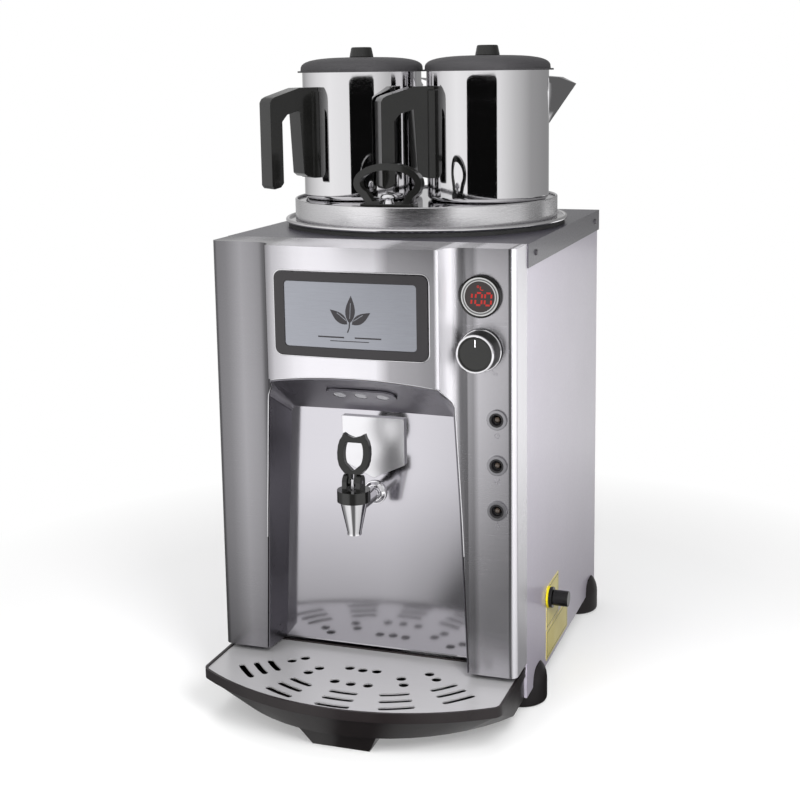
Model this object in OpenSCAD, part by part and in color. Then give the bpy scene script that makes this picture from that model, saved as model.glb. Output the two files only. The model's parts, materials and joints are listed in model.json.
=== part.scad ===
// Electric tea boiler: a sheet steel casing with a round water tank, a lever tap
// in a lit niche, a drip tray, and two teapots that stand on the tank lid.
// Millimetres, +Z up. The origin is on the floor under the tank axis; the front faces -Y.

/* [Casing] */
// Width over the side panels
case_w = 350; // [340:1:400]
// Height of the side panels
side_h = 514; // [500:1:560]
// Height of the casing above the floor
foot_h = 24; // [20:1:32]
// Distance from the tank axis to the face of the front pillars
front_d = 236; // [234:1:260]
// Distance from the tank axis to the back of the side panels
rear_d = 190; // [185:1:220]
// Thickness of the casing sheets
sheet_t = 1.2; // [0.8:0.1:1.6]
// Bend radius of the rear corners
bend_r = 5; // [3:0.5:8]
// Height of the cover's side flanges
cover_flange_h = 26; // [20:1:34]
// Width of the flanges where the side panels turn inwards
panel_flange_w = 16; // [12:1:20]
// Height of the upturned edges of the base pan
pan_h = 36; // [32:1:38]
// Radius of the corner feet
foot_r = 30.5; // [26:0.5:33]
// Distance of the feet's axes inside the casing side
foot_in = 20; // [18:1:24]
// Distance of the front feet from the tank axis
foot_front = 139; // [130:1:145]
// Distance of the rear feet from the tank axis
foot_rear = 152; // [140:1:155]
// Height of the feet's outer fins above the casing bottom
fin_h = 20; // [14:1:26]

/* [Fascia] */
// Height of the fascia
fascia_h = 472; // [460:1:476]
// Depth of its side returns
fascia_d = 46; // [42:1:50]
// Thickness of its sheet
fascia_t = 1.5; // [1:0.1:2]
// Radius of its vertical corners
fascia_r = 8; // [5:0.5:10]
// Width of the raised centre
bulge_w = 196; // [190:1:200]
// How far the raised centre's edges stand out from the pillars
bulge_d = 25; // [20:1:30]
// Further bow of the raised centre
bulge_bow = 3; // [1:0.5:4]
// Width of the cove from the raised centre to each pillar
cove_w = 24; // [20:1:26]

/* [Niche] */
// Height of the niche's arched top at the middle
niche_top = 397; // [390:1:402]
// Drop of the arch at its ends
arch_drop = 7; // [4:1:10]
// How far the mouth's lower corners lie outside the coves
mouth_over = 0.5; // [0:0.1:1.5]
// Radius of the mouth's upper corners
mouth_r = 13; // [10:1:18]
// Width of the back panel at its top
back_w_top = 200; // [190:1:206]
// Width of the back panel at its bottom
back_w_low = 229; // [220:1:236]
// Height of the back panel's top edge
back_top = 346; // [338:1:350]
// Depth of the niche behind the pillars' face
niche_d = 40; // [36:1:42]
// Thickness of the niche sheets
niche_t = 1.2; // [0.8:0.1:1.5]
// Length of the niche light
light_w = 82; // [74:1:90]
// Width of the niche light
light_d = 26; // [22:1:30]
// Distance between the light's lenses
light_pitch = 25; // [22:1:26]

/* [Badge] */
// Width of the badge frame
badge_w = 174; // [160:1:180]
// Height of the badge frame
badge_h = 91; // [80:1:96]
// Border of the badge frame at the sides
badge_side = 12; // [8:1:16]
// Border of the badge frame at top and bottom
badge_edge = 10; // [7:1:14]
// Thickness of the badge frame
badge_t = 3; // [2:0.5:4]
// Distance from the casing top to the badge's middle
badge_drop = 72.5; // [68:0.5:78]

/* [Controls] */
// Distance of the display and the knob from the middle
dial_x = 137; // [135:0.5:139]
// Distance of the lamps from the middle
lamp_x = 154; // [150:0.5:156]
// Distance from the casing top to the display's axis
display_drop = 50.5; // [46:0.5:56]
// Radius of the display bezel
display_r = 22.5; // [20:0.5:24]
// Distance from the casing top to the knob's axis
knob_drop = 108; // [104:0.5:112]
// Radius of the knob's front
knob_r = 20.5; // [18:0.5:22]
// Length of the knob
knob_l = 23; // [18:0.5:26]
// Radius of the thermostat shaft
shaft_r = 3; // [2.5:0.1:3.5]
// Distance from the casing top to the first lamp
lamp_drop = 182.5; // [178:0.5:190]
// Distance between the lamps
lamp_pitch = 50; // [46:0.5:52]
// Radius of the lamp bezels
lamp_r = 10.9; // [9.5:0.1:12]
// Height of the reset cap's axis above the floor
reset_z = 107; // [96:1:112]
// Distance of the reset cap's axis in front of the tank axis
reset_front = 91; // [88:1:100]
// Radius of the reset cap
reset_r = 9.2; // [8.6:0.1:10]
// Length of the reset cap
reset_l = 18; // [15:0.5:20]

/* [Tank] */
// Radius of the tank
tank_r = 150; // [146:0.5:151]
// Depth of the tank below the casing top
tank_h = 313; // [300:1:318]
// Thickness of the tank sheet
tank_t = 1.5; // [1:0.1:2]
// Radius of the gutter round the tank mouth
gutter_r = 172; // [170:0.5:174]
// Height of the gutter above the casing top
gutter_up = 5; // [4:0.5:8]
// Thickness of the insulation
lagging_t = 11; // [8:1:12]
// Radius of the heater ring
heater_r = 45; // [40:1:48]
// Radius of the heater rod
rod_r = 4.2; // [3.5:0.1:5]
// Radius of the heater flange
flange_r = 62; // [60:1:66]

/* [Tank lid] */
// Radius of the lid
lid_r = 160; // [158:0.5:162]
// Height of the lid's rim above the casing top
lid_up = 33; // [30:0.5:38]
// Depth of the lid plate below the rim
lid_sink = 3; // [2:0.5:5]
// Thickness of the lid sheet
lid_t = 1.2; // [1:0.1:1.6]
// Distance of the lid handle in front of the tank axis
loop_front = 135; // [132:1:138]
// Width of the lid handle's loop
loop_w = 82; // [76:1:88]
// Height of the lid handle
loop_h = 51; // [46:1:56]
// Thickness of the lid handle's band
loop_band = 8; // [7:0.5:9]

/* [Teapots] */
// Half the distance between the pots' axes
pot_x = 80; // [79.5:0.5:82]
// Shift of both pots to the left
pot_shift = 1.5; // [0:0.5:3]
// Radius of the pots
pot_r = 73; // [70:0.5:74]
// Height of the pots
pot_h = 152.5; // [140:0.5:165]
// Thickness of the pot wall
pot_t = 1; // [0.8:0.1:1.5]
// Radius of the pots' lower edge
pot_edge_r = 6; // [4:0.5:8]
// Turn of the left pot's handle from straight ahead
left_turn = 36; // [31:1:41]
// Turn of the right pot's handle from straight ahead
right_turn = 53; // [48:1:54]
// Length of the spout beyond the wall
spout_l = 43; // [36:1:46]
// Depth of the spout below its top
spout_h = 68; // [50:1:72]
// Distance from the pot's axis to the outside of its grip
grip_out = 137; // [133:1:139]
// Width of the handle
grip_w = 26; // [22:1:28]
// Thickness of the grip
grip_t = 16; // [13:1:18]
// Radius of the pot lids
pot_lid_r = 78.5; // [76:0.5:79]
// Height of the pot lids' domes
dome_h = 16; // [13:1:20]
// Fullness of the domes' shoulders, where 2 is an ellipse
dome_full = 3.2; // [2:0.1:4]
// Height of the pot lids' knobs
stud_h = 12; // [10:1:16]

/* [Tap] */
// Height of the tap's inlet above the tank bottom
inlet_up = 26.6; // [24:0.2:30]
// Distance of the tap's axis in front of the niche's back panel
tap_out = 67; // [62:1:72]
// Radius of the tap's shank
shank_r = 8; // [7:0.1:8.5]
// Radius of the tap's body at the top
cone_r = 15.4; // [14.8:0.1:16]
// Radius of the spout's mouth
mouth_out_r = 7.9; // [7.5:0.1:9]
// Length of the spout below the inlet
cone_h = 28; // [24:0.2:32]
// Radius of the bonnet
bonnet_r = 18.2; // [17.8:0.1:19]
// Height of the bonnet
bonnet_h = 12.8; // [12:0.1:14]
// Radius of the lever's pin
pin_r = 2; // [1.5:0.1:2.2]
// Rise of the valve stem
stem_rise = 4; // [3:0.1:4.4]
// Backward lean of the lever
lever_lean = 8; // [4:1:12]

/* [Drip tray] */
// Width of the drip tray
tray_w = 347; // [340:1:347]
// Radius of the tray's curved front
tray_arc_r = 297; // [285:1:310]
// Distance from the tank axis to the tray's front
tray_front = 351; // [345:1:360]
// Height of the tray's rim above the floor
tray_top = 60.5; // [58:0.5:61]
// Depth of the tray's rim band
band_h = 11; // [9:0.5:13]
// Radius of the tray's front corners
tray_corner_r = 14; // [10:1:18]
// Thickness of the tray's walls
tray_t = 3; // [2:0.5:4]
// Thickness of the drip plate
plate_t = 1.5; // [1:0.1:2]
// Width of the slots in the drip plate
slot_w = 7; // [4:0.5:8]
// Radius of the round holes in the drip plate
drain_r = 5.6; // [4:0.1:6]

/* [Fits] */
// Gap between pieces that only stand beside each other
gap = 0.3; // [0.2:0.05:0.5]
// Running clearance round a turning or sliding shaft
run = 0.05; // [0.02:0.01:0.08]
// Clearance round a fixed bush or screw in its hole
fit = 0.15; // [0.1:0.05:0.25]

/* [Hidden] */
$fn = 64;

steel = "#c9c7cb";
panel_grey = "#b5b0ba";
cover_grey = "#6a6672";
dark_grey = "#4a494d";
black = "#2b2729";
chrome = "#dcdcde";

// Heights
case_z0 = foot_h;
case_z1 = foot_h + side_h;
fascia_z0 = case_z1 - fascia_h;
tank_z0 = case_z1 - tank_h;
inlet_z = tank_z0 + inlet_up;

// Casing planes
side_x = case_w / 2;
inner_x = side_x - sheet_t;
front_y = -front_d;
return_y = front_y + fascia_d;
panel_y0 = return_y + gap;
cover_out = fit + sheet_t;
lap_y = rear_d - sheet_t;
back_y = front_y + niche_d;
bulge_y = front_y - bulge_d - bulge_bow;
bow_r = (pow(bulge_w / 2, 2) + pow(bulge_bow, 2)) / (2 * bulge_bow);

// Width of the niche mouth: its upper corners lie halfway across the coves
mouth_w_top = bulge_w + cove_w;
mouth_w_low = bulge_w + 2 * (cove_w + mouth_over);

// Screws of the casing
screw_r = 1.5;
screw_head_r = 3.6;
screw_head_h = 2;
screw_l = 6;
cover_screw_drop = 13;
cover_screw_y = [-156, 164];
rear_screw_z = [case_z0 + 60, (case_z0 + case_z1) / 2, case_z1 - 60];

// A cylinder along +Y from y0 to y1
module rod_y(r, y0, y1) translate([0, y0, 0]) rotate([-90, 0, 0]) cylinder(r = r, h = y1 - y0);

// A cylinder along +X from x0 to x1
module rod_x(r, x0, x1) translate([x0, 0, 0]) rotate([0, 90, 0]) cylinder(r = r, h = x1 - x0);

// A box between two corners
module block(a, b) translate(a) cube(b - a);

// A flat rectangle with round corners, centred on the origin
module round_rect(w, h, r) {
    square([w - 2 * r, h], center = true);
    square([w, h - 2 * r], center = true);
    for (x = [-1, 1], y = [-1, 1]) translate([x * (w / 2 - r), y * (h / 2 - r)]) circle(r);
}

// ---- Casing ----

function corner_arc(cx, cy, r, a0, a1, n) =
    [for (i = [0:n]) [cx + r * cos(a0 + (a1 - a0) * i / n), cy + r * sin(a0 + (a1 - a0) * i / n)]];

module base_pan() {
    pan_x = inner_x - fit;
    pan_y0 = panel_y0 + sheet_t + fit;
    pan_y1 = rear_d - bend_r - fit;
    color(panel_grey) difference() {
        block([-pan_x, pan_y0, case_z0], [pan_x, pan_y1, case_z0 + pan_h]);
        block([-pan_x + sheet_t, pan_y0 + sheet_t, case_z0 + sheet_t],
              [pan_x - sheet_t, pan_y1 - sheet_t, case_z0 + pan_h + 1]);
        for (s = [-1, 1]) tray_tab(s, tab_play, tab_play);
        for (x = [-1, 1], y = [-foot_front, foot_rear])
            translate([x * (side_x - foot_in), y, case_z0 - 1])
                cylinder(r = foot_screw_r + fit, h = sheet_t + 2);
    }
}

foot_screw_r = 2.5;
foot_rise = 8;
foot_round_r = 4;

// A foot that swells into a fin outside the casing
module foot(s) {
    tip_r = foot_in + 0.6;
    difference() {
        rotate_extrude() polygon(concat(
            [[0, 0]],
            corner_arc(foot_r - foot_round_r, foot_round_r, foot_round_r, -90, 0, 6),
            [for (i = [0:8]) [tip_r + (foot_r - tip_r) * cos(90 * i / 8), foot_h + fin_h * sin(90 * i / 8)]],
            [[0, foot_h + fin_h]]));
        cut_x = foot_in + gap;
        translate([s > 0 ? -2 * foot_r : -cut_x, -2 * foot_r, foot_h])
            cube([2 * foot_r + cut_x, 4 * foot_r, fin_h + 1]);
    }
    translate([0, 0, foot_h - 1]) cylinder(r = foot_screw_r, h = 1 + foot_rise);
}

module corner_feet() {
    color(black) for (s = [-1, 1], y = [-foot_front, foot_rear])
        translate([s * (side_x - foot_in), y, 0]) foot(s);
}

// Outline of one side panel seen from above, with its front and rear flanges
module panel_outline() {
    translate([inner_x, panel_y0]) square([sheet_t, rear_d - bend_r - panel_y0]);
    translate([side_x - panel_flange_w, panel_y0]) square([panel_flange_w, sheet_t]);
    translate([side_x - bend_r, rear_d - bend_r]) intersection() {
        difference() {
            circle(bend_r);
            circle(bend_r - sheet_t);
        }
        square(bend_r);
    }
    translate([side_x - bend_r - panel_flange_w, lap_y]) square([panel_flange_w, sheet_t]);
}

rear_screw_x = side_x - bend_r - panel_flange_w / 2;

module side_panel(s) {
    color(panel_grey) difference() {
        mirror([s < 0 ? 1 : 0, 0, 0]) translate([0, 0, case_z0])
            linear_extrude(side_h - sheet_t) panel_outline();
        screw_holes();
    }
}

module left_side_panel() side_panel(-1);

module right_side_panel() {
    color(panel_grey) difference() {
        side_panel(1);
        translate([0, -reset_front, reset_z]) rod_x(bush_r + fit, inner_x - 1, side_x + 1);
    }
}

// Louvre slots of the rear panel
vent_n = 9;
vent_pitch = 14;
vent_l = 60;
vent_w = 5;
vent_x = 70;
vent_up = 56;

module rear_panel() {
    panel_x = side_x - bend_r - gap;
    color(panel_grey) difference() {
        block([-panel_x, lap_y - sheet_t, case_z0], [panel_x, lap_y, case_z1 - sheet_t]);
        screw_holes();
        for (s = [-1, 1], i = [0:vent_n - 1])
            translate([s * vent_x, lap_y, case_z0 + vent_up + i * vent_pitch]) rotate([90, 0, 0])
                translate([0, 0, -1]) linear_extrude(sheet_t + 2) round_rect(vent_l, vent_w, vent_w / 2 - 0.01);
        translate([gland_x, 0, gland_z]) rod_y(gland_r + fit, lap_y - 5, lap_y + 5);
    }
}

module screw_holes() {
    for (s = [-1, 1]) {
        for (y = cover_screw_y) translate([0, y, case_z1 - cover_screw_drop])
            rod_x(screw_r + fit, s * side_x - 5, s * side_x + 5);
        for (z = rear_screw_z) {
            translate([s * rear_screw_x, 0, z]) rod_y(screw_r + fit, lap_y - 5, rear_d + 5);
        }
    }
}

// Clearance of the cover's hole round the tank
tank_hole_play = 2.5;

module top_cover() {
    cover_x = side_x + cover_out;
    cover_y1 = rear_d + cover_out;
    flange_z = case_z1 - cover_flange_h;
    color(cover_grey) difference() {
        block([-cover_x, panel_y0, flange_z], [cover_x, cover_y1, case_z1]);
        block([-side_x - fit, panel_y0 - 1, flange_z - 1], [side_x + fit, rear_d + fit, case_z1 - sheet_t]);
        translate([0, 0, case_z1 - 5]) cylinder(r = tank_r + tank_hole_play, h = 10);
        screw_holes();
    }
}

// A pan-head screw along +Z, its head's underside at z = 0
module screw(l) {
    translate([0, 0, -l]) cylinder(r = screw_r, h = l + 0.1);
    cylinder(r1 = screw_head_r, r2 = screw_head_r - 1, h = screw_head_h);
}

module case_screws() {
    color(dark_grey) for (s = [-1, 1]) {
        for (y = cover_screw_y) translate([s * (side_x + cover_out), y, case_z1 - cover_screw_drop])
            rotate([0, s * 90, 0]) screw(screw_l);
        for (z = rear_screw_z) translate([s * rear_screw_x, rear_d, z]) rotate([-90, 0, 0]) screw(screw_l);
    }
}

// ---- Fascia ----

cove_steps = 8;
bow_steps = 10;

// Right half of the fascia's outline from the corner's return to the middle, moved inwards by i
function cove_pts(i) = [for (k = [0:cove_steps])
    let (a = 90 - 90 * k / cove_steps, nx = cos(a) / cove_w, ny = sin(a) / bulge_d, n = norm([nx, ny]))
    [bulge_w / 2 + cove_w - cove_w * cos(a) - i * nx / n * 0.999,
     front_y - bulge_d + bulge_d * sin(a) + i * ny / n]];
function bow_y(x, i) = bulge_y + bow_r - sqrt(pow(bow_r - i, 2) - pow(x, 2));
function bow_pts(i) = [for (k = [bow_steps:-1:0]) let (x = (bulge_w / 2 - i) * k / bow_steps) [x, bow_y(x, i)]];
function half_front(i) = concat(
    [[side_x - i, return_y]],
    corner_arc(side_x - fascia_r, front_y + fascia_r, fascia_r - i, 0, -90, 6),
    [for (p = cove_pts(i)) if (p[0] > bulge_w / 2 - i + 0.01) p],
    bow_pts(i));
function flip(pts) = [for (k = [len(pts) - 2:-1:0]) [-pts[k][0], pts[k][1]]];
function front_pts(i) = concat(half_front(i), flip(half_front(i)));

// Everything behind the fascia's surface moved inwards by i, as a flat outline
module behind_front(i) polygon(front_pts(i));

// Mouth of the niche tub: an arch on splayed sides, seen from the front
function mouth_pts(w_top, w_low, top, drop, r, z0, grow) =
    let (slope = (w_low - w_top) / 2 / (top - drop - fascia_z0),
         side_at = function(z) w_top / 2 + grow + slope * (top - drop - z),
         zc = top + grow - drop - r, xc = side_at(zc) - r,
         half = concat(
             [[side_at(z0), z0]],
             corner_arc(xc, zc, r, 0, 78, 6),
             [for (k = [4:-1:0]) let (x = (xc - r * 0.1) * k / 4)
                 [x, top + grow - drop * pow(x / (w_top / 2), 2)]]))
    concat(half, flip(half));

mouth_y = bulge_y - 2;
mouth_gap = 1;
back_drop = 1;
back_r = 7;
back_lap = 6;

// The niche tub as a solid, its faces moved outwards by grow
module tub(grow, z0) {
    hull() {
        translate([0, mouth_y + 0.01, 0]) rotate([90, 0, 0]) linear_extrude(0.01)
            polygon(mouth_pts(mouth_w_top, mouth_w_low, niche_top, arch_drop, mouth_r, z0, grow));
        translate([0, back_y, 0]) rotate([90, 0, 0]) linear_extrude(0.01)
            polygon(mouth_pts(back_w_top, back_w_low, back_top, back_drop, back_r, z0, grow));
    }
}

module fascia() {
    lip = 12;
    color(steel) difference() {
        union() {
            translate([0, 0, fascia_z0]) linear_extrude(fascia_h) difference() {
                behind_front(0);
                behind_front(fascia_t);
                translate([-side_x + fascia_t, return_y - 1]) square([case_w - 2 * fascia_t, 2]);
            }
            for (z = [fascia_z0, case_z1 - fascia_t])
                translate([0, 0, z]) linear_extrude(fascia_t) behind_front(0);
            for (s = [-1, 1])
                block([s * (side_x - lip / 2) - lip / 2, return_y - fascia_t, fascia_z0],
                      [s * (side_x - lip / 2) + lip / 2, return_y, case_z1]);
        }
        tub(niche_t + mouth_gap, fascia_z0 - 5);
        translate([dial_x, 0, case_z1 - knob_drop]) rod_y(neck_r + fit, front_y - 5, front_y + 5);
        translate([dial_x, 0, case_z1 - display_drop]) rod_y(display_body_r + fit, front_y - 5, front_y + 5);
        for (i = [0:2]) translate([lamp_x, 0, case_z1 - lamp_drop - i * lamp_pitch])
            rod_y(lamp_body_r + fit, front_y - 5, front_y + 5);
    }
}

module niche_liner() {
    color(dark_grey) difference() {
        intersection() {
            tub(niche_t, fascia_z0);
            translate([0, 0, fascia_z0]) linear_extrude(fascia_h) behind_front(mouth_gap);
        }
        tub(0, fascia_z0 - 5);
        block([-side_x, back_y, 0], [side_x, back_y + 5, case_z1]);
        on_ceiling() translate([0, 0, -light_neck_l - 1]) linear_extrude(2 * light_neck_l)
            light_outline(light_neck_in - light_neck_play);
    }
}

module niche_back_panel() {
    back_z0 = fascia_z0 + fascia_t + fit;
    color(steel) difference() {
        translate([0, back_y + niche_t, 0]) rotate([90, 0, 0]) linear_extrude(niche_t)
            polygon(mouth_pts(back_w_top, back_w_low, back_top, back_drop, back_r, back_z0, niche_t + back_lap));
        translate([0, 0, inlet_z]) rod_y(shank_r + fit, back_y - 5, back_y + 5);
    }
}

// Places children on the niche's sloping ceiling, with local +Z pointing into the niche
slope_y = back_y - mouth_y;
slope_z = niche_top - back_top;
ceiling_a = 180 - atan2(slope_z, slope_y);
light_place = 0.46;
module on_ceiling() translate([0, mouth_y + slope_y * light_place, niche_top - slope_z * light_place])
    rotate([ceiling_a, 0, 0]) children();

light_lift = 0.8;
light_t = 2;
light_neck_in = 4.5;
light_neck_l = 5;
light_neck_play = 0.5;
lens_r = 7;

// The light's oval, moved inwards by i
module light_outline(i) round_rect(light_w - 2 * i, light_d - 2 * i, light_d / 2 - i - 0.01);

module niche_light() {
    color(dark_grey) on_ceiling() difference() {
        union() {
            translate([0, 0, light_lift]) linear_extrude(light_t) light_outline(0);
            translate([0, 0, -light_neck_l]) linear_extrude(light_neck_l + 1) light_outline(light_neck_in);
        }
        for (i = [-1:1]) translate([i * light_pitch, 0, -3]) cylinder(r = lens_r + fit, h = 10);
    }
}

module niche_light_lenses() {
    color("white") on_ceiling() for (i = [-1:1]) translate([i * light_pitch, 0, -3])
        cylinder(r = lens_r, h = 3 + light_lift + light_t - 0.5);
}

// ---- Badge ----

badge_z = case_z1 - badge_drop;

// A band of the bowed front between the distances t0 and t1 in front of its surface
module bow_band(t0, t1) translate([0, bulge_y + bow_r, badge_z - badge_h]) linear_extrude(2 * badge_h)
    difference() {
        circle(r = bow_r + t1, $fn = 360);
        circle(r = bow_r + t0, $fn = 360);
        translate([-2 * bow_r, -0.9 * bow_r]) square([4 * bow_r, 2 * bow_r]);
    }

// A rounded rectangle through the badge's place, along Y
module badge_prism(w, h, r) translate([0, bulge_y + 20, badge_z]) rotate([90, 0, 0])
    linear_extrude(40) round_rect(w, h, r);

module badge_frame() {
    color(black) difference() {
        intersection() {
            bow_band(fit, fit + badge_t);
            badge_prism(badge_w, badge_h, 8);
        }
        badge_prism(badge_w - 2 * badge_side, badge_h - 2 * badge_edge, 4);
    }
}

module badge_panel() {
    color(steel) intersection() {
        bow_band(fit, fit + badge_t - 1);
        badge_prism(badge_w - 2 * badge_side - 2 * fit, badge_h - 2 * badge_edge - 2 * fit, 4 - fit);
    }
}

// ---- Tap plate and labels ----

plate_w = 74;
plate_up = 88;
plate_low = 35;
plate_tip = 17.5;
plate_d = 5;

module tap_plate() {
    color(chrome) translate([0, back_y, inlet_z]) rotate([90, 0, 0]) linear_extrude(plate_d)
        polygon([[-plate_w / 2, plate_up], [plate_w / 2, plate_up], [plate_w / 2, plate_low],
                 [0, plate_tip], [-plate_w / 2, plate_low]]);
}

label_t = 0.6;
label_side = 7;
label_w = 62;
label_h = 52;
low_label_w = 112;
label_apart = 2;
label_up = 6;

module side_labels() {
    y0 = -reset_front - label_side;
    z1 = reset_z + washer_r;
    color("#e6dfb0") difference() {
        union() {
            block([side_x, y0, z1 - label_h], [side_x + label_t, y0 + label_w, z1]);
            block([side_x, y0, case_z0 + label_up],
                  [side_x + label_t, y0 + low_label_w, z1 - label_h - label_apart]);
        }
        translate([0, -reset_front, reset_z]) rod_x(bush_r + fit, side_x - 1, side_x + 2);
    }
}

// ---- Tank ----

stub_r = 11;
stud_out = 8;
pocket_a = 200;
pocket_r = 5;
pocket_z = tank_z0 + 40;
stud_ring_r = flange_r - 5;
stud_r = 3;
flange_t = 4;
gasket_t = 2;
gutter_z = case_z1 + gutter_up;
curl_r = 2.4;
opening_r = heater_r + rod_r + 2.8;

module boiler_tank() {
    in_r = tank_r - tank_t;
    color(chrome) {
        difference() {
            union() {
                translate([0, 0, tank_z0]) difference() {
                    cylinder(r = tank_r, h = gutter_z - tank_z0, $fn = 128);
                    translate([0, 0, tank_t]) cylinder(r = in_r, h = gutter_z, $fn = 128);
                    translate([0, 0, -1]) cylinder(r = opening_r, h = 5);
                }
                translate([0, 0, inlet_z]) rod_y(stub_r, back_y + niche_t + gap, -tank_r + 2);
            }
            translate([0, 0, inlet_z]) rod_y(shank_r + run, back_y, -in_r + 5);
            translate([0, 0, pocket_z]) rotate([0, 0, pocket_a]) rod_x(pocket_r + fit, 0, tank_r + 5);
        }
        rotate_extrude($fn = 128) {
            translate([in_r, gutter_z]) square([gutter_r - curl_r - in_r, tank_t]);
            translate([gutter_r - curl_r, gutter_z + curl_r]) circle(curl_r);
        }
        for (i = [0:5]) rotate([0, 0, i * 60 + 30])
            translate([stud_ring_r, 0, tank_z0 - gasket_t - flange_t - stud_out])
                cylinder(r = stud_r, h = stud_out + 0.1 + gasket_t + flange_t);
    }
}

module rim_gasket() {
    color(black) translate([0, 0, case_z1]) difference() {
        cylinder(r = gutter_r - curl_r - 1, h = gutter_up, $fn = 128);
        translate([0, 0, -1]) cylinder(r = tank_r + gap, h = gutter_up + 2, $fn = 128);
    }
}

module tank_lagging() {
    z0 = tank_z0 + 4;
    color("#d8d2b8") difference() {
        translate([0, 0, z0]) cylinder(r = tank_r + gap + lagging_t, h = tank_h - 16);
        translate([0, 0, z0 - 1]) cylinder(r = tank_r + gap, h = tank_h);
        translate([0, 0, inlet_z]) rod_y(stub_r + gap, -tank_r - 20, 0);
        translate([0, 0, pocket_z]) rotate([0, 0, pocket_a]) rod_x(pocket_head_r + gap, 0, tank_r + 20);
    }
}

support_y = 90;
support_w = 22;
support_h = 18;
support_t = 2;

module tank_supports() {
    bar_x = inner_x - gap;
    z0 = tank_z0 - support_h;
    z1 = tank_z0 - support_t;
    color(steel) for (s = [-1, 1], y = s * support_y) {
        block([-bar_x, y - support_w / 2, z1], [bar_x, y + support_w / 2, tank_z0]);
        block([-bar_x, y - support_t / 2, z0], [bar_x, y + support_t / 2, z1 + 0.1]);
        for (e = [-1, 1]) translate([e * (bar_x - support_t / 2), y, 0])
            block([-support_t / 2, -support_w / 2, z0], [support_t / 2, support_w / 2, z1 + 0.1]);
    }
}

rod_a = 14;
ring_up = 46;
rod_down = 30;
ferrule_l = 13;
ferrule_t = 0.8;

module heater_flange() {
    color(steel) translate([0, 0, tank_z0 - gasket_t - flange_t]) difference() {
        cylinder(r = flange_r, h = flange_t);
        for (i = [0:5]) rotate([0, 0, i * 60 + 30]) translate([stud_ring_r, 0, -1])
            cylinder(r = stud_r + fit, h = flange_t + 2);
        for (s = [-1, 1]) rotate([0, 0, s * rod_a]) translate([heater_r, 0, -1])
            cylinder(r = rod_r + fit, h = flange_t + 2);
    }
}

module heater_rod() {
    ring_z = tank_z0 + ring_up;
    color("#8b8a8c") {
        translate([0, 0, ring_z]) rotate([0, 0, rod_a]) rotate_extrude(angle = 360 - 2 * rod_a)
            translate([heater_r, 0]) circle(rod_r);
        for (s = [-1, 1]) rotate([0, 0, s * rod_a]) {
            translate([heater_r, 0, tank_z0 - rod_down]) cylinder(r = rod_r, h = ring_up + rod_down);
            translate([heater_r, 0, ring_z - ferrule_l / 2]) cylinder(r = rod_r + ferrule_t, h = ferrule_l);
        }
    }
}

module heater_gasket() {
    color(black) translate([0, 0, tank_z0 - gasket_t]) difference() {
        cylinder(r = flange_r, h = gasket_t);
        translate([0, 0, -1]) cylinder(r = opening_r, h = gasket_t + 2);
        for (i = [0:5]) rotate([0, 0, i * 60 + 30]) translate([stud_ring_r, 0, -1])
            cylinder(r = stud_r + fit, h = gasket_t + 2);
    }
}

nut_r = 5.5;
nut_h = 5;

module heater_nuts() {
    color(steel) for (i = [0:5]) rotate([0, 0, i * 60 + 30])
        translate([stud_ring_r, 0, tank_z0 - gasket_t - flange_t - nut_h]) difference() {
            cylinder(r = nut_r, h = nut_h, $fn = 6);
            translate([0, 0, -1]) cylinder(r = stud_r + fit, h = nut_h + 2);
        }
}

pocket_head_r = 9;
pocket_head_l = 7;
pocket_l = 90;
pocket_t = 1.2;

module sensor_pocket() {
    color("#b08d57") translate([0, 0, pocket_z]) rotate([0, 0, pocket_a]) difference() {
        union() {
            rod_x(pocket_r, tank_r - pocket_l, tank_r + pocket_head_l + 1);
            rod_x(pocket_head_r, tank_r + gap, tank_r + pocket_head_l);
        }
        rod_x(pocket_r - pocket_t, tank_r - pocket_l + 4, tank_r + pocket_head_l + 2);
    }
}

// ---- Controls ----

neck_r = 5;
display_body_r = 19;
lamp_body_r = 7.5;
bush_r = 6;
gland_x = -118;
gland_z = 72;
gland_r = 9;
gland_out = 20;
gland_in = 14;
gland_nut = 4;
cable_r = 4.5;

thermo_w = 34;
thermo_h = 42;
thermo_l = 32;

module thermostat_body() {
    inside_y = front_y + fascia_t + gap;
    color(black) translate([dial_x, 0, case_z1 - knob_drop]) difference() {
        union() {
            block([-thermo_w / 2, inside_y, -thermo_h / 2],
                  [thermo_w / 2, inside_y + thermo_l, thermo_h / 2]);
            rod_y(neck_r, front_y - 0.5, inside_y + 1);
        }
        rod_y(shaft_r + run, front_y - 5, inside_y + 20);
    }
}

shaft_in = 12;
knob_gap = 1.6;
knob_flare = 1.8;
knob_wall = 3;
knob_dish = 1.2;
shaft_seat = 7;

module thermostat_shaft() {
    color(steel) translate([dial_x, 0, case_z1 - knob_drop])
        rod_y(shaft_r, front_y - knob_gap - knob_l + shaft_seat + 1, front_y + shaft_in);
}

module thermostat_knob() {
    y0 = front_y - knob_gap - knob_l;
    y1 = front_y - knob_gap;
    color(black) translate([dial_x, 0, case_z1 - knob_drop]) difference() {
        union() {
            translate([0, y1, 0]) rotate([90, 0, 0])
                cylinder(r1 = knob_r + knob_flare, r2 = knob_r, h = knob_l - 4);
            rod_y(knob_r, y0, y0 + 5);
        }
        rod_y(knob_r - knob_wall - 0.5, y0 - 1, y0 + knob_dish);
        rod_y(shaft_r + run, y0 + shaft_seat, y1 + 1);
        difference() {
            rod_y(knob_r - knob_wall, y1 - knob_l / 2 + 1, y1 + 1);
            rod_y(shaft_r + knob_wall, y1 - knob_l / 2, y1 + 2);
        }
    }
}

bezel_up = 5;
display_l = 26;
display_rim = 3;

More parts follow.
